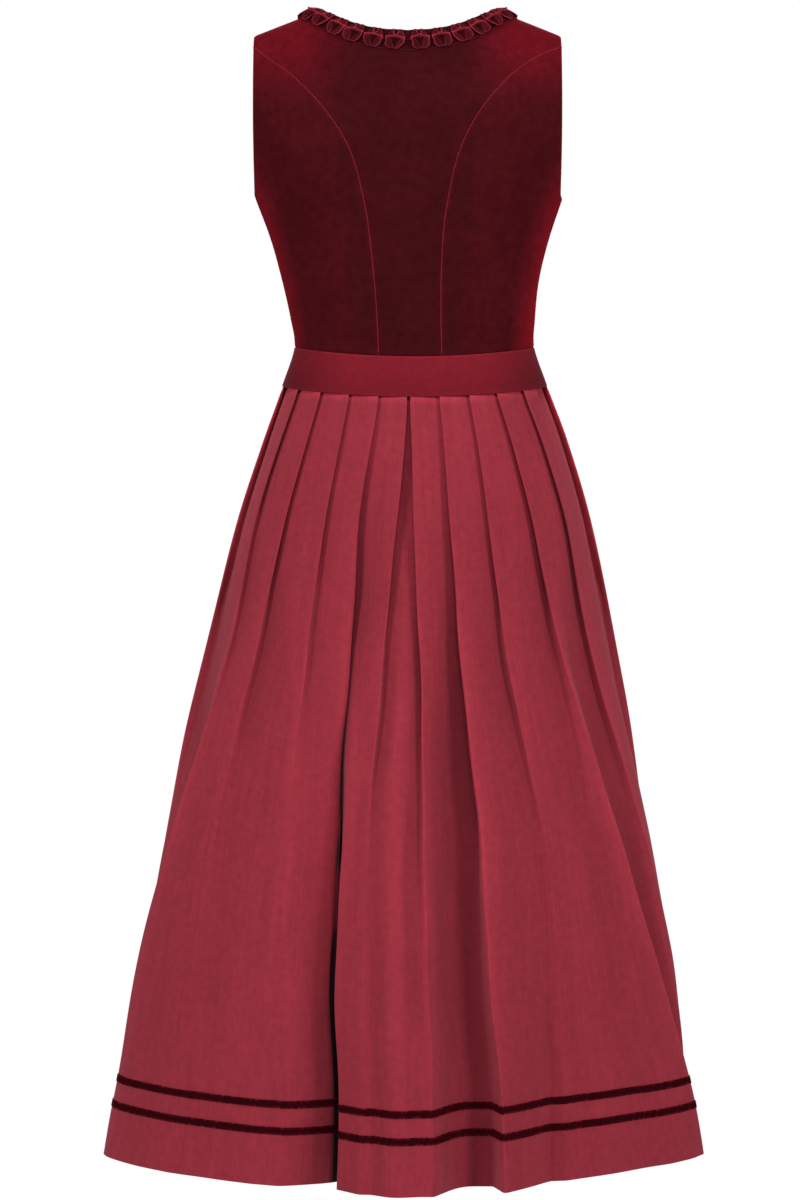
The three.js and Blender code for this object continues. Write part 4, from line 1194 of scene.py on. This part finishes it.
# %% [markdown]
# The panels are joined by a fine zigzag of red thread that shows along every curved seam. Each
# stitch is a short, tapered thread of its own, because seen close a stitch is a raised, shiny
# dash with a shadow, which no painted line gives.

# %% Stitches
STITCH = {"pitch": 2.6, "swing": 0.75, "radius": 0.34, "shows": (0.2, 0.8)}
SEAM_SEWN = {"from": 3, "short of top": 1.5, "steps": 1200}
THREAD_SIDES = 6
THREAD_TAPER = ((0, 0.35), (0.18, 1), (0.82, 1), (1, 0.35))  # share of the length, share of radius


def thread_mesh(name, spans, radius):
    spans = np.asarray(spans, float)
    start, stop = spans[:, 0], spans[:, 1]
    axis = unit(stop - start)
    other = unit(np.cross(axis, np.where(np.abs(axis[:, 2:]) > 0.9, (1, 0, 0), (0, 0, 1))))
    third = np.cross(axis, other)
    sides, last = THREAD_SIDES, len(THREAD_TAPER) - 1
    turn = (np.arange(sides) / sides * 2 * math.pi)[None, :, None]
    round_it = np.cos(turn) * other[:, None] + np.sin(turn) * third[:, None]
    rings = [mix(start, stop, share)[:, None] + round_it * radius * wide
             for share, wide in THREAD_TAPER]
    vertices = np.stack(rings, 1).reshape(-1, 3) * MM
    base = (np.arange(len(spans)) * sides * len(THREAD_TAPER))[:, None, None]
    ring = (np.arange(last) * sides)[None, :, None]
    here = np.arange(sides)[None, None, :]
    onward = (here + 1) % sides
    tube = np.stack([base + ring + here, base + ring + onward,
                     base + ring + sides + onward, base + ring + sides + here], -1).reshape(-1, 4)
    caps = [(b + np.arange(sides)[::-1]).tolist() for b in base.ravel()]
    caps += [(b + last * sides + np.arange(sides)).tolist() for b in base.ravel()]
    mesh = bpy.data.meshes.new(name)
    mesh.from_pydata(vertices.tolist(), [], tube.tolist() + caps)
    mesh.shade_smooth()
    return mesh


def seam_spans(seam, side, behind):
    column = 1 if side < 0 else 2
    top = seam[-1, 0] - SEAM_SEWN["short of top"]
    up = np.linspace(SEAM_SEWN["from"], top, SEAM_SEWN["steps"])
    path = on_bodice(side * read(seam, column, up), up, behind)
    nearby = on_bodice(side * (read(seam, column, up) + 1), up, behind)
    way = np.concatenate([[0], np.cumsum(np.linalg.norm(np.diff(path, axis=0), axis=1))])
    along = unit(np.gradient(path, axis=0))
    sideways = unit(nearby - path)
    outward = unit(np.cross(along, sideways)) * (1 if (side > 0) == behind else -1)
    outward = np.where(dot(outward, path * (1, 1, 0))[:, None] < 0, -outward, outward)
    square = unit(np.cross(outward, along))
    at = np.arange(0, way[-1], STITCH["pitch"])

    def pick(values):
        return np.stack([np.interp(at, way, values[:, axis]) for axis in range(3)], -1)

    swing = STITCH["swing"] * np.where(np.arange(len(at)) % 2 == 0, 1, -1)
    ends = pick(path) + pick(square) * swing[:, None]
    return np.stack([mix(ends[:-1], ends[1:], share) for share in STITCH["shows"]], 1)


# %% [markdown]
# Finishes are built from a few small effects, each a node group used by more than one cloth:
# threads with uneven slubs, a tone that wanders over the piece, a velvet pile, and the marks of
# folds, which carry painted shade and painted highlights. A group gives only numbers; each
# material decides what they do to its colour and relief.

# %% Helpers for node trees
def wire(tree, kind, settings=(), inputs=()):
    made = tree.nodes.new("ShaderNode" + kind)
    for key, value in dict(settings).items():
        setattr(made, key, value)
    for key, value in dict(inputs).items():
        if isinstance(value, bpy.types.NodeSocket):
            tree.links.new(value, made.inputs[key])
        else:
            made.inputs[key].default_value = value
    return made


def maths(tree, operation, *values):
    return wire(tree, "Math", {"operation": operation}, dict(enumerate(values))).outputs[0]


def noise(tree, vector, scale, detail):
    inputs = {"Vector": vector, "Scale": scale, "Detail": detail}
    return wire(tree, "TexNoise", inputs=inputs).outputs[0]


def around_one(tree, value, strength):
    """A tone near 1 from a value near a half: 1 + (value - 0.5) * strength."""
    swing = maths(tree, "MULTIPLY", maths(tree, "SUBTRACT", value, 0.5), strength)
    return maths(tree, "ADD", swing, 1.0)


def effect(name, inputs, outputs, build):
    """A node group. build(tree, input sockets) returns the output sockets in order."""
    group = bpy.data.node_groups.new(name, "ShaderNodeTree")
    for label, value in inputs.items():
        socket = group.interface.new_socket(label, in_out="INPUT", socket_type="NodeSocketFloat")
        socket.default_value = value
    for label in outputs:
        group.interface.new_socket(label, in_out="OUTPUT", socket_type="NodeSocketFloat")
    source = group.nodes.new("NodeGroupInput")
    sink = group.nodes.new("NodeGroupOutput")
    for socket, made in zip(sink.inputs, build(group, source.outputs)):
        group.links.new(made, socket)
    return group


def use(tree, group, **inputs):
    made = tree.nodes.new("ShaderNodeGroup")
    made.node_tree = group
    for key, value in inputs.items():
        made.inputs[key.replace("_", " ").capitalize()].default_value = value
    return made.outputs


# %% [markdown]
# Cotton for a skirt is a plain weave. Its upright threads are spun unevenly, so fine streaks run
# down the cloth. The streaks are noise stretched along the thread, read from the cloth's own
# grid in metres, so they follow every pleat instead of the picture.

# %% Threads
THREAD_MIX = {"warp": 0.5, "slubs": 0.32, "weft": 0.18}
SLUBS = {"across": 0.22, "along": 0.5}
WEFT_ALONG = 2.5


def build_threads(tree, given):
    grid = wire(tree, "UVMap", {"uv_map": "cloth"}).outputs[0]
    parts = wire(tree, "SeparateXYZ", inputs={0: grid}).outputs

    def streaks(across, up, detail):
        x = maths(tree, "MULTIPLY", parts[0], across)
        y = maths(tree, "MULTIPLY", parts[1], up)
        vector = wire(tree, "CombineXYZ", inputs={0: x, 1: y}).outputs[0]
        return noise(tree, vector, 1.0, detail)

    warp = streaks(given["Across"], given["Along"], 2.0)
    slubs = streaks(maths(tree, "MULTIPLY", given["Across"], SLUBS["across"]),
                    maths(tree, "MULTIPLY", given["Along"], SLUBS["along"]), 1.0)
    weft = streaks(maths(tree, "MULTIPLY", given["Along"], WEFT_ALONG), given["Across"], 2.0)
    both = maths(tree, "ADD", maths(tree, "MULTIPLY", warp, THREAD_MIX["warp"]),
                 maths(tree, "MULTIPLY", slubs, THREAD_MIX["slubs"]))
    both = maths(tree, "ADD", both, maths(tree, "MULTIPLY", weft, THREAD_MIX["weft"]))
    return [around_one(tree, both, given["Strength"]), both]


threads = effect("threads", {"Across": 900.0, "Along": 14.0, "Strength": 0.3}, ["Tone", "Height"],
                 build_threads)
print("threads:", [socket.name for socket in threads.interface.items_tree])

# %% [markdown]
# No dyed cloth has one flat tone. Noise of a chosen size in metres, read in space, lets a tone
# wander over a piece: large for dye and wear, small for the slight fleck of spun cotton.

# %% Uneven tone
def build_uneven(tree, given):
    place_at = wire(tree, "TexCoord").outputs["Object"]
    scale = maths(tree, "DIVIDE", 1.0, given["Size"])
    return [around_one(tree, noise(tree, place_at, scale, 3.0), given["Strength"])]


uneven = effect("uneven", {"Size": 0.12, "Strength": 0.2}, ["Tone"], build_uneven)

# %% [markdown]
# Velvet is a dense pile of short hairs. It drinks light seen end on and glows where it is seen
# from the side or brushed over, so its colour sits almost wholly in the sheen. The pile itself
# is a fine speckle, with a few bright specks of lint caught in it.

# %% Pile
LINT = {"spread": 0.16, "radius": 0.045}


def build_pile(tree, given):
    place_at = wire(tree, "TexCoord").outputs["Object"]
    scale = maths(tree, "DIVIDE", 1.0, given["Size"])
    hairs = noise(tree, place_at, scale, 4.0)
    lint_scale = maths(tree, "MULTIPLY", scale, LINT["spread"])
    specks = wire(tree, "TexVoronoi", inputs={"Vector": place_at, "Scale": lint_scale})
    speck = maths(tree, "LESS_THAN", specks.outputs["Distance"], LINT["radius"])
    lint = maths(tree, "MULTIPLY", speck, given["Lint"])
    return [maths(tree, "ADD", around_one(tree, hairs, given["Strength"]), lint), hairs]


pile = effect("pile", {"Size": 0.0012, "Strength": 0.5, "Lint": 1.0}, ["Tone", "Height"], build_pile)

# %% [markdown]
# Folds and hollows are read back from the masks laid with the cloth. The fold mask lightens the
# tone: painted sheen on the trim, a painted highlight on the band's edges. The painted shade mask
# darkens it: painted shade in the skirt's folds and on the band, and below zero it paints light on
# the skirt's pleat heads and sides. Each acts by as much as the material asks for.

# %% Folds
def build_folds(tree, given):
    fold = wire(tree, "Attribute", {"attribute_name": "fold"}).outputs["Fac"]
    painted_shade = wire(tree, "Attribute", {"attribute_name": "painted_shade"}).outputs["Fac"]
    lift = maths(tree, "MULTIPLY", fold, given["Worn"])
    drop = maths(tree, "MULTIPLY", painted_shade, given["Shaded"])
    return [maths(tree, "SUBTRACT", maths(tree, "ADD", lift, 1.0), drop), fold]


folds = effect("folds", {"Worn": 0.2, "Shaded": 0.3}, ["Tone", "Fold"], build_folds)
print("effects:", [group.name for group in bpy.data.node_groups])

# %% [markdown]
# Every cloth is one Principled shader. What never changes over a cloth is set on the shader
# itself: how rough it is, and how strong, soft and coloured the sheen of its fibres. Only colour
# and relief are wired.

# %% From effects to a finish
def product(tree, *values):
    made = values[0]
    for value in values[1:]:
        made = maths(tree, "MULTIPLY", made, value)
    return made


def material(name, roughness, sheen, sheen_roughness, sheen_tint, specular=0.3):
    made = bpy.data.materials.new(name)
    made.use_nodes = True
    shader = made.node_tree.nodes["Principled BSDF"]
    shader.inputs["Roughness"].default_value = roughness
    shader.inputs["Sheen Weight"].default_value = sheen
    shader.inputs["Sheen Roughness"].default_value = sheen_roughness
    shader.inputs["Sheen Tint"].default_value = (*sheen_tint, 1)
    shader.inputs["Specular IOR Level"].default_value = specular
    return made, made.node_tree, shader


def finish_cloth(tree, shader, colour, tone, height, relief, worn=None, worn_colour=None):
    """Colour times tone into Base Color, and height into a shallow bump of `relief` metres."""
    if worn is not None:
        blend = wire(tree, "Mix", {"data_type": "RGBA"}, {0: worn})
        blend.inputs[6].default_value = (*colour, 1)
        blend.inputs[7].default_value = (*worn_colour, 1)
        colour = blend.outputs[2]
    else:
        colour = (*colour, 1)
    shade = wire(tree, "HueSaturation", inputs={"Color": colour, "Value": tone}).outputs[0]
    tree.links.new(shade, shader.inputs["Base Color"])
    bump = wire(tree, "Bump", inputs={"Height": height, "Distance": relief, "Strength": 1.0})
    tree.links.new(bump.outputs[0], shader.inputs["Normal"])


# %% [markdown]
# The skirt's cotton is matt and a clear raspberry red. The waistband is the same weave laid
# sideways in a deeper red, with a painted highlight along its folded edges. Both have three tones
# on top of each other: threads, a wandering dye and a small fleck. The fold masks add painted
# shade to both, painted light on the skirt's pleat heads and sides, and a little lighter tone on
# the skirt's pressed outer folds.

# %% The cottons
SKIRT_RED = (0.37, 0.030, 0.050)
BAND_RED = (0.260, 0.0120, 0.025)

skirt_cloth, tree, shader = material("skirt_cotton", 0.9, 0.30, 0.5, (0.9, 0.30, 0.38), 0.2)
weave = use(tree, threads, across=480.0, along=16.0, strength=0.60)
tone = product(tree, weave["Tone"], use(tree, uneven, size=0.10, strength=0.16)["Tone"],
               use(tree, uneven, size=0.007, strength=0.42)["Tone"],
               use(tree, folds, worn=0.04, shaded=0.55)["Tone"])
finish_cloth(tree, shader, SKIRT_RED, tone, weave["Height"], 0.0003)

band_cloth, tree, shader = material("band_cotton", 0.85, 0.15, 0.5, (0.9, 0.25, 0.3), 0.1)
weave = use(tree, threads, across=40.0, along=900.0, strength=0.42)
tone = product(tree, weave["Tone"], use(tree, uneven, size=0.06, strength=0.18)["Tone"],
               use(tree, uneven, size=0.006, strength=0.35)["Tone"],
               use(tree, folds, worn=0.30, shaded=0.2)["Tone"])
finish_cloth(tree, shader, BAND_RED, tone, weave["Height"], 0.0002)

# %% [markdown]
# The bodice is a wine velvet, nearly black where its pile stands up. A mask mixes in a clear red:
# painted sheen round the sides, on the shoulders and away from the middle, and along the seams
# partly painted sheen and partly pile pressed open. Two sizes of patches keep it from looking
# sprayed.

# %% The velvet of the bodice
WINE = (0.062, 0.0048, 0.0072)
WINE_SHEEN_AND_NAP = (0.26, 0.0065, 0.018)

velvet, tree, shader = material("bodice_velvet", 0.9, 1.0, 0.28, (0.80, 0.014, 0.035), 0.05)
hairs = use(tree, pile, size=0.0011, strength=0.5, lint=1.2)
# Mixed-in clear red: painted sheen, along the seams partly pile pressed open.
sheen_and_nap_mask = wire(tree, "Attribute", {"attribute_name": "sheen_and_nap"}).outputs["Fac"]
patches = use(tree, uneven, size=0.009, strength=0.8)["Tone"]
wide_patches = use(tree, uneven, size=0.05, strength=0.5)["Tone"]
tone = product(tree, hairs["Tone"], product(tree, patches, wide_patches))
finish_cloth(tree, shader, WINE, tone, hairs["Height"], 0.0004, sheen_and_nap_mask, WINE_SHEEN_AND_NAP)

# %% [markdown]
# The neck trim and the ribbons are velvet too, but folded and narrow, so one sees mostly edges:
# bright red rims on a ground that is almost black. On the trim the bright red is painted sheen,
# mixed in by its fold mask. The ribbons are the darkest cloth of all.

# %% The velvet of the trim and the ribbons
WINE_DEEP = (0.026, 0.002, 0.004)
RIM_SHEEN_RED = (0.50, 0.038, 0.062)
RIBBON_WINE = (0.032, 0.0008, 0.0028)
RIBBON_EDGE = (0.20, 0.008, 0.02)

# The fold mask mixes the painted sheen of the rims into the colour.
trim_cloth, tree, shader = material("trim_velvet", 0.9, 0.35, 0.34, (0.70, 0.03, 0.05), 0.05)
hairs = use(tree, pile, size=0.0009, strength=0.5, lint=0.4)
marks = use(tree, folds, worn=0.2, shaded=0.0)
tone = product(tree, hairs["Tone"], marks["Tone"])
finish_cloth(tree, shader, WINE_DEEP, tone, hairs["Height"], 0.0003, marks["Fold"], RIM_SHEEN_RED)

ribbon_cloth, tree, shader = material("ribbon_velvet", 0.9, 0.35, 0.3, (0.5, 0.01, 0.04), 0.05)
hairs = use(tree, pile, size=0.0009, strength=0.6, lint=0.0)
marks = use(tree, folds, worn=0.5, shaded=0.2)
tone = product(tree, hairs["Tone"], marks["Tone"])
finish_cloth(tree, shader, RIBBON_WINE, tone, hairs["Height"], 0.0003, marks["Fold"], RIBBON_EDGE)

# %% [markdown]
# Sewing thread is smooth and less than a millimetre thick, so it needs no weave: a bright red
# that changes a little from stitch to stitch is enough.

# %% The thread
THREAD_RED = (0.46, 0.050, 0.080)

thread, tree, shader = material("seam_thread", 0.8, 0.0, 0.4, (0.9, 0.3, 0.35), 0.1)
shade = use(tree, uneven, size=0.002, strength=0.5)["Tone"]
lit = wire(tree, "HueSaturation", inputs={"Color": (*THREAD_RED, 1), "Value": shade}).outputs[0]
tree.links.new(lit, shader.inputs["Base Color"])
cloths = (skirt_cloth, band_cloth, velvet, trim_cloth, ribbon_cloth, thread)
print("finishes:", [cloth.name for cloth in cloths])

# %% [markdown]
# Now the pieces are cut. One helper dresses a node of the frame with its cloth and keeps a list of
# the cut sheets: what each rests on, how it is held in shape and which pieces are sewn to it.

# %% Dress a node of the frame
SHEETS = {}


def dress(node, points, inner, outer, masks, cloth, held=None, rests_on=(), long=None):
    """Puts cloth in the place of a node. held is left out for a strip sewn on another piece."""
    name = node + "_cloth"
    piece = add_piece(name, cloth_mesh(name, points, inner, outer, masks), cloth, [node])
    print(name, "has", len(piece.data.polygons), "faces")
    if held:
        flat, area = sheet_facts(points, long)
        SHEETS[name] = {"piece": piece, "flat": flat, "area": area, "held": held,
                        "rests_on": rests_on, "with": []}
        print(f"    cut flat: {flat[0]:.3f} x {flat[1]:.3f} m, {area:.4f} m2")
    return piece


# %% [markdown]
# The bodice is seven velvet panels. Each gets a mask of how much clear red is mixed in: painted
# sheen round the sides under the arm, on the shoulders and a little away from the middle, and
# along the seams partly painted sheen and partly pile pressed open.

# %% Cut the bodice
VELVET_WALL = 1.8
SHEEN_AND_NAP = {"seam": 0.4, "seam reach": 1.3, "flank": 0.7, "middle": 0.07, "shoulder": 0.6}
SHEEN_AND_NAP_AT = {"flank": (0.80, 1.03), "flank below": (250, 120), "shoulder above": (235, 330),
          "shoulder beside": (45, 120), "middle": (0.35, 0.5)}


def sheen_and_nap(points):
    """How much clear red is mixed in, 0 to 1: painted sheen, at seams partly pile pressed open."""
    across = lengths(points, 1)
    off = np.minimum(across, across[:, -1:] - across)
    beside = SHEEN_AND_NAP["seam"] * np.exp(-off / SHEEN_AND_NAP["seam reach"])
    x, up = points[..., 0] - NECK_SHIFT, points[..., 2] + SHOULDER_UP
    half = outline(up)[0]
    flank = smooth(np.abs(x) / half, *SHEEN_AND_NAP_AT["flank"]) * smooth(up, *SHEEN_AND_NAP_AT["flank below"])
    high = smooth(up, *SHEEN_AND_NAP_AT["shoulder above"]) * smooth(np.abs(x), *SHEEN_AND_NAP_AT["shoulder beside"])
    off_middle = SHEEN_AND_NAP["middle"] * smooth(np.abs(x) / half, *SHEEN_AND_NAP_AT["middle"])
    return np.clip(off_middle + beside + SHEEN_AND_NAP["flank"] * flank + SHEEN_AND_NAP["shoulder"] * high, 0, 1)


def panel(name, points, rests_on):
    masks = {"sheen_and_nap": sheen_and_nap(points)}
    dress(name, points, -VELVET_WALL, 0, masks, velvet, "stretched", rests_on)


panel("bodice_back", centre_back(), ["waistband_back"])
for side, side_name in ((-1, "left"), (1, "right")):
    panel(f"bodice_side_back_{side_name}", side_panel(side, True), ["bodice_back"])
    panel(f"bodice_side_front_{side_name}", side_panel(side, False), [f"bodice_front_{side_name}"])
    panel(f"bodice_front_{side_name}", front(side), [f"waistband_front_{side_name}"])

# %% [markdown]
# The waistband is cut in three: one piece behind and two in front, which meet at centre front.

# %% Cut the waistband
BAND_PARTS = {
    "waistband_back": (BAND_GAP_SHARE - BAND_SIDE_SHARE, BAND_SIDE_SHARE - BAND_GAP_SHARE, 180),
    "waistband_front_left": (BAND_GAP_SHARE - 1, -BAND_SIDE_SHARE - BAND_GAP_SHARE, 90),
    "waistband_front_right": (BAND_SIDE_SHARE + BAND_GAP_SHARE, 1 - BAND_GAP_SHARE, 90),
}
for name, (start, stop, columns) in BAND_PARTS.items():
    points, swell, masks = band_part(start, stop, columns)
    dress(name, points, -BAND_WALL / 2, swell[..., None], masks, band_cloth,
          "stretched", ["skirt_back" if "back" in name else "skirt_front"])

# %% [markdown]
# Two narrow velvet ribbons run round the skirt above its hem. They follow the skirt's own
# surface a fraction of a millimetre further out, so they bend into every pleat with it. The loops
# of their woven edges stand in and out by turns, and some of them catch the light.

# %% The ribbons
RIBBON_WIDTH = 7.5
RIBBONS = {"upper": -769 + RIBBON_WIDTH / 2, "lower": -796.5 + RIBBON_WIDTH / 2}
RIBBON_ROWS = 7
RIBBON_STEP = 1.1
FRINGE = {"every stitch": 0.38, "by chance": 0.25}
TICKS = {"unlit": 0.62, "least": 0.3, "next row": 0.35}


def ribbon_ups(top):
    return np.linspace(top - RIBBON_WIDTH, top, RIBBON_ROWS)


def ribbon_surface(top, behind):
    """A ribbon with its uneven looped edges, and its mask of red ticks along them."""
    height = height_of(ribbon_ups(top))
    points, masks = skirt_surface(height, behind)
    way = lengths(points, 1)
    count = int(way[:, -1].mean() / RIBBON_STEP)
    even = np.stack([
        np.stack([np.interp(np.linspace(0, row_way[-1], count), row_way, row[:, axis])
                  for axis in range(3)], -1)
        for row, row_way in zip(points, way)])
    chance = np.random.default_rng(int(-top) + behind)
    in_and_out = np.where(np.arange(count) % 2 == 0, 1, -1)
    stray = FRINGE["by chance"]
    fringe = FRINGE["every stitch"] * in_and_out + chance.uniform(-stray, stray, count)
    even[0, :, 2] -= fringe
    even[-1, :, 2] += np.roll(fringe, 1)
    ticks = chance.uniform(0, 1, count) > TICKS["unlit"]
    ticks = ticks * chance.uniform(TICKS["least"], 1, count)
    marks = np.zeros(even.shape[:2])
    marks[0], marks[-1] = ticks, np.roll(ticks, 2)
    marks[1], marks[-2] = TICKS["next row"] * marks[0], TICKS["next row"] * marks[-1]
    return even, {"fold": marks, "painted_shade": np.zeros(even.shape[:2])}


print("ribbons end", [round(top - RIBBON_WIDTH - HEM_UP, 1) for top in RIBBONS.values()],
      "mm above the hem")

# %% [markdown]
# The skirt is two wide strips, cut with rows that lie closer together near the waist, where the
# pleats change fastest, and with a row at every edge of a ribbon.

# %% Cut the skirt and its ribbons
COTTON_WALL = 0.6
RIBBON_WALL, RIBBON_LIFT = 0.8, 0.15
SKIRT_ROWS, ROWS_CROWD = 104, 1.15

rows = np.concatenate([np.linspace(0, 1, SKIRT_ROWS) ** ROWS_CROWD]
                      + [height_of(ribbon_ups(top)[[0, -1]]) for top in RIBBONS.values()])
rows = np.unique(np.round(rows, 5))[::-1]
wall = COTTON_WALL / 2
under = wall + RIBBON_LIFT
for side_name, behind, rests_on in (
        ("back", True, ["waistband_back"]),
        ("front", False, ["waistband_front_left", "waistband_front_right"])):
    points, masks = skirt_surface(rows, behind)
    dress(f"skirt_{side_name}", points, -wall, wall, masks, skirt_cloth,
          "folded", rests_on, SKIRT_TOP_UP - HEM_UP)
    for which, top in RIBBONS.items():
        points, masks = ribbon_surface(top, behind)
        ribbon = dress(f"ribbon_{which}_{side_name}", points, under, under + RIBBON_WALL,
                       masks, ribbon_cloth)
        print(f"    cut long: {lengths(points, 1)[RIBBON_ROWS // 2, -1] * MM:.3f} m")
        SHEETS[f"skirt_{side_name}_cloth"]["with"].append(ribbon)

# %% [markdown]
# Last the neck trim is pleated, and all the thread is sewn in: the zigzag of the seams and the
# little tack that pinches each pleat of the trim.

# %% Pleat the trim and sew the thread
TRIM_WALL = 0.5

points, masks, tacks = trim_surface()
dress("neck_trim", points, -TRIM_WALL / 2, TRIM_WALL / 2, masks, trim_cloth, "folded",
      ["bodice_back", "bodice_front_left", "bodice_front_right"], TRIM_WIDTH)
spans = np.concatenate([seam_spans(seam, side, behind) for seam, behind in
                        ((BACK_SEAM, True), (FRONT_SEAM, False)) for side in (-1, 1)])
for name, spans, radius, slot_name, owner in (
        ("seam_stitches", spans, STITCH["radius"], "velvet", "bodice_back_cloth"),
        ("trim_tacks", tacks, TACK["radius"], "trim_velvet", "neck_trim_cloth")):
    sewn = add_piece(name, thread_mesh(name, spans, radius), thread)
    SHEETS[owner]["with"].append(sewn)
    print(name, len(spans))

# %% [markdown]
# The light is that of a plain white studio: a large soft lamp high behind the viewer, so the top
# of the skirt is brighter than its hem, one at each side and one beyond the dress. A lamp points
# down its own axis, so its angles are found from where it stands to where it aims.

# %% The lamps
LAMPS = [
    # name, place, aimed at, size, power
    ("key", (0.1, -3.4, 2.2), (0, 0, -0.2), 1.8, 60),
    ("left", (-3.1, -2.3, 0.4), (0, 0, -0.5), 1.1, 54),
    ("right", (3.1, -2.3, 0.4), (0, 0, -0.5), 1.1, 54),
    ("far side", (0, 3.6, 1.2), (0, 0, -0.3), 2.0, 60),
]
for name, lamp_place, aim, size, power in LAMPS:
    lamp_data = bpy.data.lights.new(name, "AREA")
    lamp_data.shape, lamp_data.size, lamp_data.energy = "DISK", size, power
    lamp = bpy.data.objects.new(name, lamp_data)
    lamp.location = lamp_place
    toward = [b - a for a, b in zip(lamp_place, aim)]
    flat_way = math.hypot(toward[0], toward[1])
    lamp.rotation_euler = (math.atan2(flat_way, -toward[2]), 0, math.atan2(-toward[0], toward[1]))
    bpy.context.collection.objects.link(lamp)

print("lamps:", [lamp[0] for lamp in LAMPS])

# %% [markdown]
# An even white world fills the rest. It looks fully white behind the dress but lights it far less
# strongly, so only the troughs between folds fall dark. A light path node can tell the two apart.

# %% The world
WORLD_LIGHT = 0.2
world = bpy.data.worlds.new("studio")
world.use_nodes = True
bpy.context.scene.world = world
tree = world.node_tree
tree.nodes.clear()
seen = wire(tree, "LightPath").outputs["Is Camera Ray"]
strength = maths(tree, "MULTIPLY_ADD", seen, 1 - WORLD_LIGHT, WORLD_LIGHT)
backing = wire(tree, "Background", inputs={"Color": (1, 1, 1, 1), "Strength": strength})
output = tree.nodes.new("ShaderNodeOutputWorld")
tree.links.new(backing.outputs[0], output.inputs[0])

# %% [markdown]
# The floor lies well below the hem, for the dress hangs free. It is a pale disc that fades out
# toward its rim, so no edge of it shows. It belongs to the stage and not to the garment.

# %% The floor
FLOOR = {"z": -1.42, "radius": 0.75, "sides": 96, "fades from": 0.35, "strength": 0.9}
PALE = (0.86, 0.86, 0.86, 1)

floor_mesh = bpy.data.meshes.new("floor")
turns = np.linspace(0, 2 * math.pi, FLOOR["sides"] + 1)[:-1]
floor_mesh.from_pydata([(FLOOR["radius"] * math.cos(a), FLOOR["radius"] * math.sin(a), 0)
                        for a in turns], [], [list(range(FLOOR["sides"]))])
floor_cloth = bpy.data.materials.new("floor")
floor_cloth.use_nodes = True
tree = floor_cloth.node_tree
shader = tree.nodes["Principled BSDF"]
shader.inputs["Base Color"].default_value = PALE
shader.inputs["Roughness"].default_value = 0.9
spot = wire(tree, "TexCoord").outputs["Object"]
from_middle = wire(tree, "VectorMath", {"operation": "LENGTH"}, {0: spot}).outputs["Value"]
faded = wire(tree, "MapRange", {"interpolation_type": "SMOOTHSTEP"}, {
    "Value": from_middle, "From Min": FLOOR["fades from"], "From Max": FLOOR["radius"],
    "To Min": FLOOR["strength"], "To Max": 0.0})
tree.links.new(faded.outputs[0], shader.inputs["Alpha"])
floor_mesh.materials.append(floor_cloth)
floor = bpy.data.objects.new("floor", floor_mesh)
floor.location.z = FLOOR["z"]
bpy.context.collection.objects.link(floor)
floor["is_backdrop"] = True

bpy.context.scene.view_settings.view_transform = "Standard"

# %% [markdown]
# Before the lesson ends, the size of the dressed garment is compared with its frame: cloth
# should clothe the frame and not outgrow it.

# %% Measure and finish
low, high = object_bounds()
before, after = (*cad_low, *cad_high), (*low, *high)
print("grown by, in mm:", [round((b - a) / MM, 1) for a, b in zip(before, after)])
